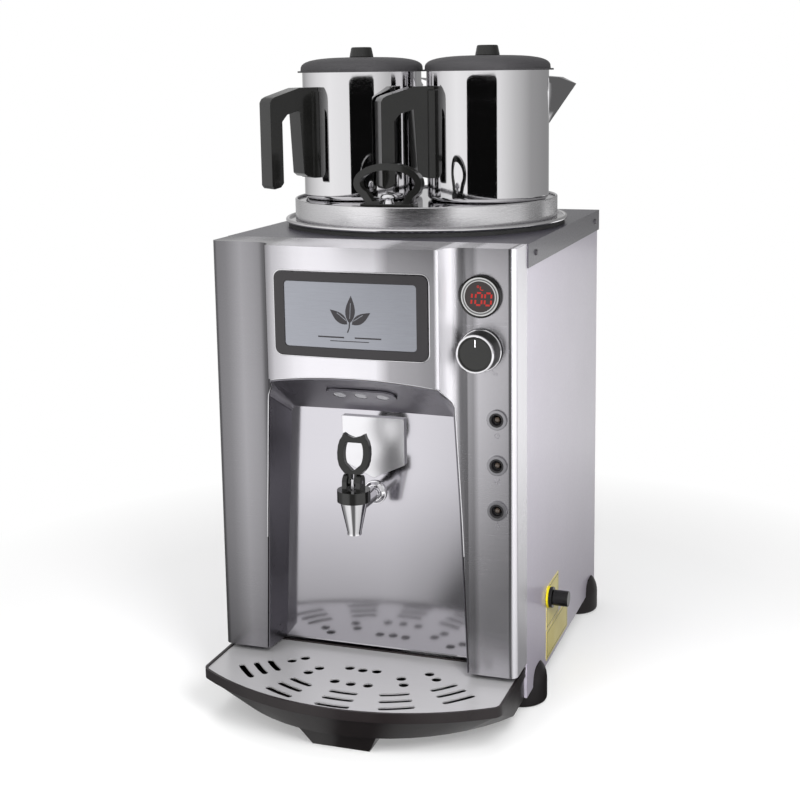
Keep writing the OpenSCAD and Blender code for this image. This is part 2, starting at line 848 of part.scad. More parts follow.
module display_bezel() {
    color(chrome) translate([dial_x, 0, case_z1 - display_drop]) difference() {
        rod_y(display_r, front_y - bezel_up, front_y);
        rod_y(display_body_r + fit, front_y - 2, front_y + 1);
        rod_y(window_r + fit, front_y - bezel_up - 1, front_y);
        translate([-dial_x, 0, -display_r - 1]) linear_extrude(2 * display_r + 2) behind_front(-gap / 3);
    }
}

window_r = 16;

module display_window() {
    color("#3a1512") translate([dial_x, 0, case_z1 - display_drop])
        rod_y(window_r, front_y - bezel_up + 1, front_y - 2);
}

module display_body() {
    color(black) translate([dial_x, 0, case_z1 - display_drop]) {
        rod_y(display_body_r, front_y - 1.9, front_y + display_l);
        difference() {
            rod_y(display_body_r + display_rim, front_y + fascia_t + gap, front_y + fascia_t + 5);
            rod_y(display_body_r - 1, front_y, front_y + 20);
        }
    }
}

module at_lamps() for (i = [0:2]) translate([lamp_x, 0, case_z1 - lamp_drop - i * lamp_pitch]) children();

lamp_up = 3;
lamp_l = 24;
lamp_wall = 1;
lamp_well = 4;
led_l = 18;

module lamp_bezels() {
    color(chrome) at_lamps() difference() {
        union() {
            rod_y(lamp_r, front_y - lamp_up, front_y);
            rod_y(lamp_body_r, front_y - 1, front_y + lamp_l);
        }
        rod_y(lamp_body_r - lamp_wall, front_y - lamp_up - 1, front_y + lamp_well);
        rod_y(led_r + fit, front_y, front_y + led_l + 2);
    }
}

led_r = 3.2;

module lamp_lenses() {
    color("#5a4630") at_lamps() {
        rod_y(led_r, front_y + 1, front_y + led_l);
        translate([0, front_y + 1, 0]) sphere(led_r);
    }
}

bush_out = 13;
washer_r = 13;
washer_t = 2.6;
collar_r = 12.3;
collar_t = 4;
button_r = 2.5;
button_up = 2;
limit_r = 13;
limit_l = 16;
cap_x0 = side_x + label_t + washer_t + collar_t + gap;

module limit_thermostat() {
    color(black) translate([0, -reset_front, reset_z]) difference() {
        union() {
            rod_x(limit_r, inner_x - gap - limit_l, inner_x - gap);
            rod_x(bush_r, inner_x - gap - 1, side_x + bush_out);
        }
        rod_x(button_r + run, inner_x - 8, side_x + bush_out + 1);
    }
}

module reset_washer() {
    color("#e8d23a") translate([0, -reset_front, reset_z]) difference() {
        rod_x(washer_r, side_x + label_t, side_x + label_t + washer_t);
        rod_x(bush_r + fit, side_x, side_x + 10);
    }
}

module reset_collar() {
    x0 = side_x + label_t + washer_t;
    color(black) translate([0, -reset_front, reset_z]) difference() {
        rod_x(collar_r, x0, x0 + collar_t);
        rod_x(bush_r + fit, x0 - 1, x0 + collar_t + 1);
    }
}

module reset_cap() {
    color(black) translate([0, -reset_front, reset_z]) difference() {
        rod_x(reset_r, cap_x0, cap_x0 + reset_l);
        rod_x(bush_r + fit, cap_x0 - 1, cap_x0 + reset_l - 3);
    }
}

module reset_button() {
    color("#b03028") translate([0, -reset_front, reset_z])
        rod_x(button_r, inner_x - 8 + button_up + gap, side_x + bush_out + button_up);
}

module cable_gland() {
    color(black) translate([gland_x, 0, gland_z]) difference() {
        union() {
            rod_y(gland_r, lap_y - gland_in, lap_y + gland_out);
            translate([0, lap_y + gap, 0]) rotate([-90, 0, 0])
                cylinder(r = gland_r + gland_nut, h = 7, $fn = 6);
            translate([0, lap_y - sheet_t - gap - 5, 0]) rotate([-90, 0, 0])
                cylinder(r = gland_r + gland_nut, h = 5, $fn = 6);
        }
        rod_y(cable_r, lap_y - gland_in - 6, lap_y + gland_out + 10);
    }
}

terminal_n = 5;
terminal_pitch = 12.5;
terminal_d = 24;
terminal_h = 26;
terminal_x = -60;
terminal_back = 46;

module terminal_block() {
    color("#e8e4da") translate([terminal_x, rear_d - terminal_back, case_z0 + sheet_t]) difference() {
        block([0, -terminal_d, 0], [(terminal_n + 0.6) * terminal_pitch, 0, terminal_h]);
        for (i = [0:terminal_n - 1]) translate([(i + 0.8) * terminal_pitch, -terminal_d / 2, terminal_h / 2])
            cylinder(r = terminal_d / 8, h = terminal_h);
    }
}

// ---- Tap ----

tap_y = back_y - tap_out;
body_up = 9.7;
body_top = inlet_z + body_up;
neck_h = 8;
neck_step = 1.6;
tap_neck_r = cone_r - neck_step;
bonnet_z = body_top;
yoke_r = 8;
yoke_rise = 0.7;
pivot_z = bonnet_z + bonnet_h + yoke_r + yoke_rise;
seat_down = 6;
seat_z = inlet_z - seat_down;
bore_r = 5;
bore_wall = 5;
mouth_lip = 3;
shank_in = 18;
stem_r = 2.5;
blade_t = 3;
eye_t = 3;

module at_tap(z) translate([0, tap_y, z]) children();

module tap_body() {
    lip_z = inlet_z - cone_h;
    color(chrome) difference() {
        union() {
            at_tap(0) rotate_extrude() polygon([
                [0, lip_z], [mouth_out_r, lip_z], [mouth_out_r, lip_z + mouth_lip], [cone_r, body_top],
                [tap_neck_r, body_top], [tap_neck_r, body_top + neck_h], [0, body_top + neck_h]]);
            translate([0, 0, inlet_z]) rod_y(shank_r, tap_y, back_y + shank_in);
        }
        at_tap(seat_z) cylinder(r = cone_r - bore_wall, h = 40);
        at_tap(lip_z - 1) cylinder(r1 = mouth_out_r - 1.2, r2 = bore_r, h = seat_z - lip_z + 2);
        translate([0, 0, inlet_z]) rod_y(bore_r, tap_y, back_y + shank_in + 10);
    }
}

rosette_r = 13.6;
rosette_t = 2.5;
rosette_cone = 3;

module tap_rosette() {
    color(chrome) translate([0, 0, inlet_z]) difference() {
        union() {
            rod_y(rosette_r, back_y - rosette_t, back_y);
            translate([0, back_y - rosette_t + 0.1, 0]) rotate([90, 0, 0])
                cylinder(r1 = rosette_r - 1.1, r2 = shank_r + 1.5, h = rosette_cone);
        }
        rod_y(shank_r + fit, back_y - 10, back_y + 1);
    }
}

module tap_bonnet() {
    top = bonnet_z + bonnet_h;
    color(black) difference() {
        union() {
            at_tap(bonnet_z) cylinder(r = bonnet_r, h = bonnet_h);
            for (s = [-1, 1]) at_tap(0) {
                cheek0 = s > 0 ? cheek_in : -cheek_out;
                block([cheek0, -yoke_r, top - 1], [cheek0 + cheek_out - cheek_in, yoke_r, pivot_z]);
                translate([0, 0, pivot_z]) rod_x(yoke_r, cheek0, cheek0 + cheek_out - cheek_in);
            }
        }
        at_tap(bonnet_z - 1) cylinder(r = tap_neck_r, h = neck_h + 1);
        at_tap(0) cylinder(r = stem_r + run, h = 2 * pivot_z);
        at_tap(pivot_z) rod_x(pin_r + run, -20, 20);
    }
}

eye_in = blade_t / 2 + gap;
eye_out = eye_in + eye_t;
cheek_in = eye_out + gap;
cheek_out = 10.5;
eye_r = 5.5;

loop_root = yoke_r + 0.5;
loop_half = 18.7;
loop_arm = 7.4;
loop_mid = 31;
loop_top = 53;
lever_t = 8;

// A side of the loop, wide at z = loop_mid, running through the angles from a0 to a1
function loop_side(half, rise, a0, a1) = [for (k = [0:6]) let (a = a0 + (a1 - a0) * k / 6)
    [half - half * 0.42 * (1 - cos(a)), loop_mid + rise * sin(a)]];

// The lever's loop above the pivot: two horns and a hollow between them
module lever_loop() {
    outer = concat(loop_side(loop_half, loop_top - loop_mid - 3, -70, 70),
                   [[12, loop_top], [8, loop_top - 2.5]]);
    inner = loop_side(loop_half - loop_arm, 13.5, -60, 60);
    difference() {
        polygon(concat([[9, loop_root]], outer, [[0, loop_top - 5]],
                       [for (k = [len(outer) - 1:-1:0]) [-outer[k][0], outer[k][1]]], [[-9, loop_root]]));
        polygon(concat([[0, loop_root + 3]], inner,
                       [for (k = [len(inner) - 1:-1:0]) [-inner[k][0], inner[k][1]]]));
    }
}

module tap_lever() {
    color(black) at_tap(pivot_z) difference() {
        union() {
            rotate([-lever_lean, 0, 0]) translate([0, lever_t / 2, 0]) rotate([90, 0, 0])
                linear_extrude(lever_t) lever_loop();
            for (s = [-1, 1]) {
                x0 = s > 0 ? eye_in : -eye_out;
                rod_x(eye_r, x0, x0 + eye_t);
                rotate([-lever_lean, 0, 0]) block([x0, -4, 0], [x0 + eye_t, 4, loop_root + 1]);
            }
        }
        rod_x(pin_r, -20, 20);
    }
}

module tap_pin() {
    color(steel) at_tap(pivot_z) rod_x(pin_r, -cheek_out, cheek_out);
}

stem_foot = 4;
blade_w = 7;
blade_z = pivot_z - stem_rise - pin_r - 1.6;
flat_z = pivot_z - stem_rise - eye_r - 0.5;

// The stem is round in the bonnet, flat where it passes between the lever's eyes and slotted round the pin
module tap_stem() {
    slot = pin_r + run + 0.05;
    color(steel) at_tap(0) difference() {
        union() {
            translate([0, 0, seat_z + stem_foot]) cylinder(r = stem_r, h = flat_z - seat_z - stem_foot);
            intersection() {
                translate([0, 0, seat_z + stem_foot])
                    cylinder(r = stem_r, h = blade_z - seat_z - stem_foot + 0.5);
                block([-blade_t / 2, -blade_w, seat_z], [blade_t / 2, blade_w, pivot_z]);
            }
            block([-blade_t / 2, -blade_w / 2, blade_z], [blade_t / 2, blade_w / 2, pivot_z + pin_r + 1.2]);
        }
        translate([0, 0, pivot_z]) rod_x(slot, -10, 10);
        translate([0, 0, pivot_z - stem_rise]) rod_x(slot, -10, 10);
        block([-10, -slot, pivot_z - stem_rise], [10, slot, pivot_z]);
    }
}

seat_r_low = 7.5;
seat_r_top = 9.5;
seat_h = 8;

module tap_seat() {
    color("#e0ded8") at_tap(seat_z + run) difference() {
        cylinder(r1 = seat_r_low, r2 = seat_r_top, h = seat_h);
        translate([0, 0, stem_foot - run]) cylinder(r = stem_r, h = seat_h);
    }
}

// ---- Drip tray ----

tray_rear = return_y;
tray_arc_y = tray_arc_r - tray_front;
tab_play = 0.4;
tab_z = case_z0 + 16;
tab_x = 60;
tab_w = 30;
tab_h = 3;
tab_l = 10;
plate_in = 3;
plate_play = 0.3;
plate_ledge = 5;
plate_down = 1.5;
leg_w_top = 92;
leg_w_low = 66;

// Outline of the tray moved inwards by i: straight sides, round corners and an arc in front
function tray_pts(i) =
    let (xc = tray_w / 2 - tray_corner_r, rc = tray_corner_r - i, ra = tray_arc_r - tray_corner_r,
         yc = tray_arc_y - sqrt(pow(ra, 2) - pow(xc, 2)),
         phi = atan2(yc - tray_arc_y, xc), n = 20)
    concat(
        [[tray_w / 2 - i, tray_rear - i]],
        corner_arc(xc, yc, rc, 0, phi, 5),
        [for (k = [1:n - 1]) let (a = phi + (-180 - 2 * phi) * k / n)
            [(tray_arc_r - i) * cos(a), tray_arc_y + (tray_arc_r - i) * sin(a)]],
        corner_arc(-xc, yc, rc, -180 - phi, -180, 5),
        [[-tray_w / 2 + i, tray_rear - i]]);

// Outline of the tray's floor: narrower in front than the rim
floor_arc_r = 199;
floor_front = tray_front - 14.5;
function floor_pts(i) =
    let (w = tray_w / 2 - 1.5 - i, r = floor_arc_r - i, yc = floor_arc_r - floor_front,
         a0 = -acos(w / r), n = 20)
    concat(
        [[w, tray_rear - i]],
        [for (k = [0:n]) let (a = a0 + (-180 - 2 * a0) * k / n) [r * cos(a), yc + r * sin(a)]],
        [[-w, tray_rear - i]]);

module tray_shape(i, z0, z1) hull() {
    translate([0, 0, z1 - 0.01]) linear_extrude(0.01) polygon(tray_pts(1.5 + i));
    translate([0, 0, z0]) linear_extrude(0.01) polygon(floor_pts(i));
}

// A tab on the tray's rear wall, grown by dx sideways and by dz up and down
module tray_tab(s, dx, dz) {
    x = s * (tab_x + tab_w / 2);
    block([x - tab_w / 2 - dx, tray_rear - 1, tab_z - dz],
          [x + tab_w / 2 + dx, tray_rear + tab_l, tab_z + tab_h + dz]);
}

module drip_tray() {
    band_z = tray_top - band_h;
    seat_top = tray_top - plate_t - plate_down;
    color(black) difference() {
        union() {
            translate([0, 0, band_z]) linear_extrude(band_h) polygon(tray_pts(0));
            tray_shape(0, case_z0, band_z + 0.01);
            hull() {
                translate([-leg_w_top / 2, -floor_front + 8, case_z0 + 1]) cube([leg_w_top, 60, 1]);
                translate([-leg_w_low / 2, -floor_front + 20, 0]) cube([leg_w_low, 34, 1]);
            }
            for (s = [-1, 1]) tray_tab(s, 0, 0);
        }
        tray_shape(tray_t, case_z0 + tray_t, band_z + 0.02);
        translate([0, 0, band_z]) linear_extrude(band_h + 1) polygon(tray_pts(plate_in + plate_ledge));
        translate([0, 0, seat_top]) linear_extrude(10) polygon(tray_pts(plate_in));
    }
}

pattern_y = -166;
slot_rings = [174, 157.3, 141];
slot_turns = [-46, -23, 0, 23, 46];
slot_half_a = 5.4;

function turned(p, a) = [p[0] * cos(a) - p[1] * sin(a), p[0] * sin(a) + p[1] * cos(a)];

// One slot along a ring of radius r, with half round ends, turned by a from straight ahead
module ring_slot(r, a) {
    half = slot_w / 2;
    rotate(a - 90) polygon(concat(
        [for (t = [0:30:180]) turned([r + half * cos(t), half * sin(t)], slot_half_a)],
        [for (t = [2:-1:-2]) turned([r - half, 0], t * slot_half_a / 3)],
        [for (t = [180:30:360]) turned([r + half * cos(t), half * sin(t)], -slot_half_a)],
        [for (t = [-2:2]) turned([r + half, 0], t * slot_half_a / 3)]));
}

// Rows of round holes: ring radius and turns from straight ahead
hole_rows = [[118, [-47.3, -28.6, -9.5, 0, 9.5, 28.6, 47.3]], [102, [-47.3, -28.6, 28.6, 47.3]],
             [81, [-11.5, 0, 11.5]]];

module drip_plate() {
    color(steel) translate([0, 0, tray_top - plate_t - plate_down]) linear_extrude(plate_t) difference() {
        polygon(tray_pts(plate_in + plate_play));
        translate([0, pattern_y]) {
            for (r = slot_rings, a = slot_turns) ring_slot(r, a);
            for (row = hole_rows, a = row[1]) rotate(a - 90) translate([row[0], 0]) circle(drain_r);
        }
    }
}

// ---- Tank lid ----

lid_rim = case_z1 + lid_up;
lid_top = lid_rim - lid_sink;
roll_r = 1.4;
skirt_z = gutter_z + tank_t + gap;
spigot_play = 1.5;
spigot_r = tank_r - tank_t - spigot_play;
spigot_l = 14;

module tank_lid() {
    color(steel) difference() {
        rotate_extrude($fn = 128) {
            translate([lid_r - lid_t, skirt_z]) square([lid_t, lid_rim - roll_r - skirt_z]);
            translate([lid_r - roll_r, lid_rim - roll_r]) circle(roll_r, $fn = 24);
            translate([0, lid_top - lid_t]) square([lid_r - lid_t / 2, lid_t]);
            translate([spigot_r - lid_t, gutter_z - spigot_l])
                square([lid_t, lid_top - gutter_z + spigot_l - 0.5]);
        }
        translate([0, -loop_front, lid_top - 5]) cylinder(r = bolt_r + fit, h = 10);
    }
}

bolt_r = 3;
base_t = 5;
base_w = 64;
base_d = 16;
loop_foot_w = 52;
loop_crown = 23;
loop_d = 12;

// The handle's loop seen from the front: a band that widens and closes over the base
function loop_pts(i) = concat(
    [[loop_foot_w / 2 - i, base_t - 0.5 + i * 0.4]],
    [for (a = [-40:13:220]) [(loop_w / 2 - i) * cos(a), (loop_h - loop_crown + (loop_crown - i) * sin(a))]],
    [[-loop_foot_w / 2 + i, base_t - 0.5 + i * 0.4]]);

module lid_handle() {
    color(black) translate([0, -loop_front, lid_top]) difference() {
        union() {
            translate([0, loop_d / 2, 0]) rotate([90, 0, 0]) linear_extrude(loop_d) difference() {
                polygon(loop_pts(0));
                polygon(loop_pts(loop_band));
            }
            block([-base_w / 2, -base_d / 2, 0], [base_w / 2, base_d / 2, base_t]);
        }
        translate([0, 0, -1]) cylinder(r = bolt_r + fit, h = base_t + 2);
        translate([0, 0, base_t]) cylinder(r = 11, h = 13);
    }
}

module lid_handle_bolt() {
    color(chrome) translate([0, -loop_front, lid_top]) {
        translate([0, 0, -lid_t - 7]) cylinder(r = bolt_r, h = 8 + lid_t + base_t);
        translate([0, 0, -lid_t - 4.1]) cylinder(r = 5.5, h = 4, $fn = 6);
        translate([0, 0, base_t]) cylinder(r1 = 6, r2 = 4.5, h = 5);
        translate([0, 0, base_t + 4.9]) cylinder(r = 4.5, h = 1.2);
        translate([0, 0, base_t + 6]) rotate_extrude() polygon([
            [0, 0], [9.5, 0], [10, 1.5], [8.5, 4.5], [5, 6.5], [0, 7.2]]);
    }
}

// ---- Teapots ----

pot_z = lid_top;
spout_drop = 7;

// Places a pot's pieces at its own axis, turned so that local -Y points along the handle
module at_pot(s) {
    translate([s * pot_x - pot_shift, 0, pot_z])
        rotate([0, 0, -(s > 0 ? right_turn : left_turn)]) children();
}

// The beak: a sharp V that leans out from the wall, moved inwards by i and its top raised by up
module beak(i, up) {
    z1 = pot_h - spout_drop + up;
    hull() {
        translate([0, pot_r - 6, z1 - 1]) linear_extrude(1) square([48 - 2 * i, 1], center = true);
        translate([0, pot_r + spout_l * 0.45 - i, z1 - 2]) cube([24 - 2 * i, 0.6, 0.6], center = true);
        translate([0, pot_r + spout_l - 1 - 2 * i, z1 - 10]) cube([0.6, 1, 0.6], center = true);
        translate([0, pot_r - 2.5, z1 - up - spout_h + 3 * i]) cube([1, 1, 1], center = true);
    }
}

module pot(s) {
    in_r = pot_r - pot_t;
    color(chrome) at_pot(s) difference() {
        union() {
            rotate_extrude() polygon(concat(
                [[0, 0]],
                corner_arc(pot_r - pot_edge_r, pot_edge_r, pot_edge_r, -90, 0, 6),
                [[pot_r, pot_h], [0, pot_h]]));
            beak(0, 0);
        }
        rotate_extrude() polygon(concat(
            [[0, pot_t]],
            corner_arc(pot_r - pot_edge_r, pot_edge_r, pot_edge_r - pot_t, -90, 0, 6),
            [[in_r, pot_h + 1], [0, pot_h + 1]]));
        beak(1.2, 3);
    }
}

leg_t = 24;
leg_low = 28;
pad_w = 30;
pad_t = 7;
grip_low = 17;
arm_z = 137;
arm_fall = 12;

// The handle seen from its side: a leg on the wall, a falling arm and a free grip
module handle_outline() {
    r = 7;
    x1 = grip_out;
    x0 = grip_out - grip_t;
    polygon([[0, leg_low + r], [0, arm_z], [pot_r + leg_t, arm_z - 2], [x1 - r, arm_z - arm_fall],
             [x1 - 2.5, arm_z - arm_fall - 2.5], [x1, arm_z - arm_fall - r],
             [x1, grip_low + 4], [x1 - 3, grip_low],
             [x0 + 4, grip_low + 2], [x0, grip_low + 7], [x0, arm_z - 34 - r], [x0 - r, arm_z - 33],
             [pot_r + leg_t, arm_z - 28], [pot_r + leg_t - 4, leg_low + 6], [pot_r + leg_t - 9, leg_low + 2],
             [pot_r + 3, leg_low]]);
}

module pot_handle(s) {
    color(black) at_pot(s) difference() {
        union() {
            rotate([0, 0, -90]) translate([0, grip_w / 2, 0]) rotate([90, 0, 0])
                linear_extrude(grip_w) handle_outline();
            block([-pad_w / 2, -pot_r - pad_t, leg_low], [pad_w / 2, -pot_r + 4, arm_z - 6]);
        }
        translate([0, 0, -1]) cylinder(r = pot_r, h = pot_h + 2, $fn = 128);
        translate([-50, 0, -1]) cube([100, 100, pot_h + 2]);
    }
}

lid_lip = 2;

plug_r = pot_r - pot_t - 1;
plug_t = 1.5;
plug_l = 9;
dome_r = pot_lid_r - 3.5;
lid_shell = 1.5;
stud_hole_r = 2.1;

// The lid's full-shouldered dome, moved inwards by i
function dome_pts(i) = [for (k = [0:12])
    [(dome_r - i) * pow(cos(7.5 * k), 2 / dome_full),
     lid_lip + (dome_h - i) * pow(sin(7.5 * k), 2 / dome_full)]];

module pot_lid(s) {
    color(dark_grey) at_pot(s) translate([0, 0, pot_h]) rotate_extrude($fn = 96) difference() {
        union() {
            square([pot_lid_r, lid_lip]);
            polygon(concat([[0, lid_lip - 0.1], [dome_r, lid_lip - 0.1]], dome_pts(0)));
            translate([plug_r - plug_t, -plug_l]) square([plug_t, plug_l + 1]);
        }
        polygon(concat([[0, -1], [plug_r - plug_t, -1], [plug_r - plug_t, lid_lip]],
                       [for (p = dome_pts(lid_shell)) if (p[0] < plug_r - plug_t) p]));
        translate([0, lid_lip]) square([stud_hole_r, dome_h + 1]);
    }
}

knob_foot_r = 14.6;
knob_top_r = 12.6;

module lid_knob(s) {
    color(black) at_pot(s) translate([0, 0, pot_h + lid_lip + dome_h]) {
        rotate_extrude() polygon([[0, 0], [knob_foot_r, 0], [knob_foot_r, 1], [knob_top_r, stud_h - 1.2],
                                  [knob_top_r - 1, stud_h], [0, stud_h]]);
        translate([0, 0, -6]) cylinder(r = 2, h = 7);
    }
}

module left_pot() pot(-1);
module left_pot_handle() pot_handle(-1);
module left_pot_lid() pot_lid(-1);
module left_lid_knob() lid_knob(-1);
module right_pot() pot(1);
module right_pot_handle() pot_handle(1);
module right_pot_lid() pot_lid(1);
module right_lid_knob() lid_knob(1);

base_pan();
corner_feet();
left_side_panel();
right_side_panel();
rear_panel();
top_cover();
case_screws();
fascia();
niche_liner();
niche_back_panel();
niche_light();
niche_light_lenses();
badge_frame();
badge_panel();
tap_plate();
side_labels();
boiler_tank();
rim_gasket();
tank_lagging();
tank_supports();
heater_flange();
heater_rod();
heater_gasket();
heater_nuts();
sensor_pocket();
thermostat_body();
display_bezel();
display_window();
display_body();
lamp_bezels();
lamp_lenses();
limit_thermostat();
reset_washer();
reset_collar();
cable_gland();
terminal_block();
tap_body();
tap_rosette();
tap_bonnet();
tap_lever();
tap_pin();
tap_stem();
tap_seat();
thermostat_shaft();
thermostat_knob();
reset_cap();
reset_button();
drip_tray();
drip_plate();
tank_lid();
lid_handle();
lid_handle_bolt();
left_pot();
left_pot_handle();
left_pot_lid();
left_lid_knob();
right_pot();
right_pot_handle();
right_pot_lid();
right_lid_knob();
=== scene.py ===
import json
import math

import bmesh
import bpy
from mathutils import Matrix, Vector
from mathutils.bvhtree import BVHTree


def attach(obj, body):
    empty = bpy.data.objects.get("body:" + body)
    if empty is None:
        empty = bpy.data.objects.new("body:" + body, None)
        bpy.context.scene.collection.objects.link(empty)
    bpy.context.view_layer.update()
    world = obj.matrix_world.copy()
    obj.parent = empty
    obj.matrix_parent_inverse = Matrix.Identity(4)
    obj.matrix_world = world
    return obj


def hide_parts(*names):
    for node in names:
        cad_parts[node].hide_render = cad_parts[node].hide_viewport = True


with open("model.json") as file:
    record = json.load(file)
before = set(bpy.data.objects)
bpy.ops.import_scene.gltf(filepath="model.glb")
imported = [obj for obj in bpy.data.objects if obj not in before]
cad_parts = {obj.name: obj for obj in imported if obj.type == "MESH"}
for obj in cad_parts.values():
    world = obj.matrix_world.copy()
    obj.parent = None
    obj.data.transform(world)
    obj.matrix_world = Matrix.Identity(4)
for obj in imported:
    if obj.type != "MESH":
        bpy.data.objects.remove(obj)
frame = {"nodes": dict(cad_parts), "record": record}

X, Y, Z = 0, 1, 2
MICRON = 0.000001
NODES = frame["nodes"]
SLOT_OF = {part["node"]: part["material_slot"] for part in frame["record"]["subparts"]}
BODY_OF = {n: b for b, members in frame["record"]["behaviour"]["bodies"].items() for n in members}

# Places taken from the CAD nodes, in metres
FRONT_Y = -0.236
NICHE_FLOOR_Z = 0.066
NICHE_MID_Z = 0.2
SIDE_X = 0.175
KNOB = Vector((0.137, 0, 0.430))
KNOB_FACE_Y = FRONT_Y - 0.0246
DISPLAY = Vector((0.137, 0, 0.4875))
DISPLAY_FACE_Y = FRONT_Y - 0.005
LAMP_X, LAMP_Z = 0.154, (0.3555, 0.3055, 0.2555)
BADGE_Z, BADGE_W, BADGE_H = 0.4655, 0.174, 0.091

CAMERA_AT = (0.537851, -1.625268, 0.719547)
CAMERA_TURN = (18.616781, 9.658822, -0.72165)  # yaw to the left, pitch down, roll, in degrees
FOCAL_PX, CENTRE_PX, FRAME_PX, SENSOR = 1397.322, (420.351, 310.0), 800, 36.0


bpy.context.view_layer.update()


# ---- Materials: noise scales are cells per metre, bump depths are metres ----

COLOUR_MIX = (0, 6, 7)  # a Mix node's share and its two inputs, for colours
FLOAT_MIX = (0, 2, 3)  # the same for numbers
COLOUR_RESULT = 2


def rgb(text):
    """A linear colour from an sRGB hex string."""
    parts = [int(text[i:i + 2], 16) / 255 for i in (1, 3, 5)]
    return tuple(c / 12.92 if c <= 0.04045 else ((c + 0.055) / 1.055) ** 2.4 for c in parts) + (1.0,)


def set_stops(ramp, stops):
    """Gives a colour ramp grey stops, listed as (position, level) in rising order."""
    while len(ramp.elements) < len(stops):
        ramp.elements.new(0.5)
    for element, (position, _) in zip(ramp.elements, stops):
        element.position = position
    for element, (_, level) in zip(ramp.elements, stops):
        element.color = (level, level, level, 1.0)


class Surface:
    """A Principled material under construction, on the object's own coordinates."""

    def __init__(self, name, colour, metallic, roughness, **sockets):
        self.material = bpy.data.materials.new(name)
        self.material.use_nodes = True
        self.tree = self.material.node_tree
        self.shader = self.tree.nodes["Principled BSDF"]
        self.put("Base Color", rgb(colour))
        self.put("Metallic", metallic)
        self.put("Roughness", roughness)
        for socket, value in sockets.items():
            self.put(socket.replace("_", " "), value)
        self.coords = self.tree.nodes.new("ShaderNodeTexCoord")

    def put(self, socket, value):
        self.shader.inputs[socket].default_value = value

    def link(self, output, node, socket):
        self.tree.links.new(output, node.inputs[socket])

    def to_shader(self, output, socket):
        self.link(output, self.shader, socket)

    def node(self, kind, links=(), **settings):
        """A shader node: settings are its own properties or, failing that, its sockets' values."""
        node = self.tree.nodes.new("ShaderNode" + kind)
        for key, value in settings.items():
            if hasattr(node, key):
                setattr(node, key, value)
            else:
                node.inputs[key.replace("_", " ")].default_value = value
        for socket, output in dict(links).items():
            self.link(output, node, socket)
        return node

    def noise(self, scale, detail=2.0, roughness=0.5, distortion=0.0):
        """Noise with that many cells per metre: one number, or one each along x, y and z."""
        if isinstance(scale, (int, float)):
            scale = (scale, scale, scale)
        placed = self.node("Mapping", {"Vector": self.coords.outputs["Object"]}, Scale=scale)
        return self.node("TexNoise", {"Vector": placed.outputs[0]}, Scale=1.0, Detail=detail,
                         Roughness=roughness, Distortion=distortion).outputs["Fac"]

    def spread(self, value, low, high, at=(0.3, 0.7)):
        """Maps a value's range, from at[0] to at[1], to the range from low to high."""
        node = self.node("MapRange", {"Value": value})
        for socket, number in zip(("From Min", "From Max", "To Min", "To Max"), (*at, low, high)):
            node.inputs[socket].default_value = number
        return node.outputs[0]

    def base_colour(self):
        """The output that feeds the base colour so far."""
        return self.shader.inputs["Base Color"].links[0].from_socket

    def blend(self, share, first, second):
        """Mixes two colours or colour outputs by share."""
        node = self.node("Mix", data_type="RGBA")
        share_at, *inputs = COLOUR_MIX
        self.link(share, node, share_at)
        for index, colour in zip(inputs, (first, second)):
            if isinstance(colour, str):
                node.inputs[index].default_value = rgb(colour)
            else:
                self.link(colour, node, index)
        return node.outputs[COLOUR_RESULT]

    def between(self, share, first, second):
        """Mixes two number outputs by share."""
        node = self.node("Mix", data_type="FLOAT")
        for index, output in zip(FLOAT_MIX, (share, first, second)):
            self.link(output, node, index)
        return node.outputs[0]

    def math(self, operation, first, second):
        node = self.node("Math", operation=operation)
        for index, value in enumerate((first, second)):
            if isinstance(value, (int, float)):
                node.inputs[index].default_value = value
            else:
                self.link(value, node, index)
        return node.outputs[0]

    def bump(self, height, depth, strength):
        """Bump of that depth."""
        node = self.node("Bump", {"Height": height}, Distance=depth, Strength=strength)
        self.to_shader(node.outputs[0], "Normal")

    def ramp(self, value, low, high, stops):
        """Grey levels along a value: stops lists (value, level)."""
        node = self.node("ValToRGB", {"Fac": self.spread(value, 0.0, 1.0, (low, high))})
        set_stops(node.color_ramp, [((at - low) / (high - low), level) for at, level in stops])
        return node.outputs[0]

    def shade(self, levels):
        """Paints light and shade into the base colour by multiplying it by grey levels."""
        node = self.node("Mix", data_type="RGBA", blend_type="MULTIPLY")
        share_at, colour_at, levels_at = COLOUR_MIX
        node.inputs[share_at].default_value = 1.0
        self.link(self.base_colour(), node, colour_at)
        self.link(levels, node, levels_at)
        self.to_shader(node.outputs[COLOUR_RESULT], "Base Color")

    def facing(self, axis):
        """The object-space normal along one axis."""
        return self.node("SeparateXYZ", {"Vector": self.coords.outputs["Normal"]}).outputs[axis]

    def place(self, axis):
        """The object-space coordinate along one axis, in metres."""
        return self.node("SeparateXYZ", {"Vector": self.coords.outputs["Object"]}).outputs[axis]


def brushed(name, light, dark, roughness, along, grain=4200.0, length=60.0, depth=3 * MICRON, swing=0.03,
            **sockets):
    """Brushed sheet metal whose grain runs along one axis.

    It has grain cells per metre across the strokes, which are length times as long as wide.
    Its roughness swings by that much with the strokes, and again with wide clouds.
    """
    s = Surface(name, light, 1.0, roughness, **sockets)
    scale = [grain] * 3
    scale[along] = grain / length
    fine = s.noise(scale, detail=3.0, roughness=0.6)
    coarse = s.noise([v * 0.3 for v in scale])
    cloud = s.noise(9.0, detail=3.0, roughness=0.6)
    tone = s.math("ADD", s.math("MULTIPLY", fine, 0.55), s.math("MULTIPLY", coarse, 0.45))
    s.to_shader(s.blend(s.spread(tone, 0.0, 1.0), dark, light), "Base Color")
    strokes = s.spread(tone, -swing, swing)
    s.to_shader(s.math("ADD", strokes, s.spread(cloud, roughness - swing, roughness + swing)), "Roughness")
    s.bump(fine, depth, strength=0.5)
    return s


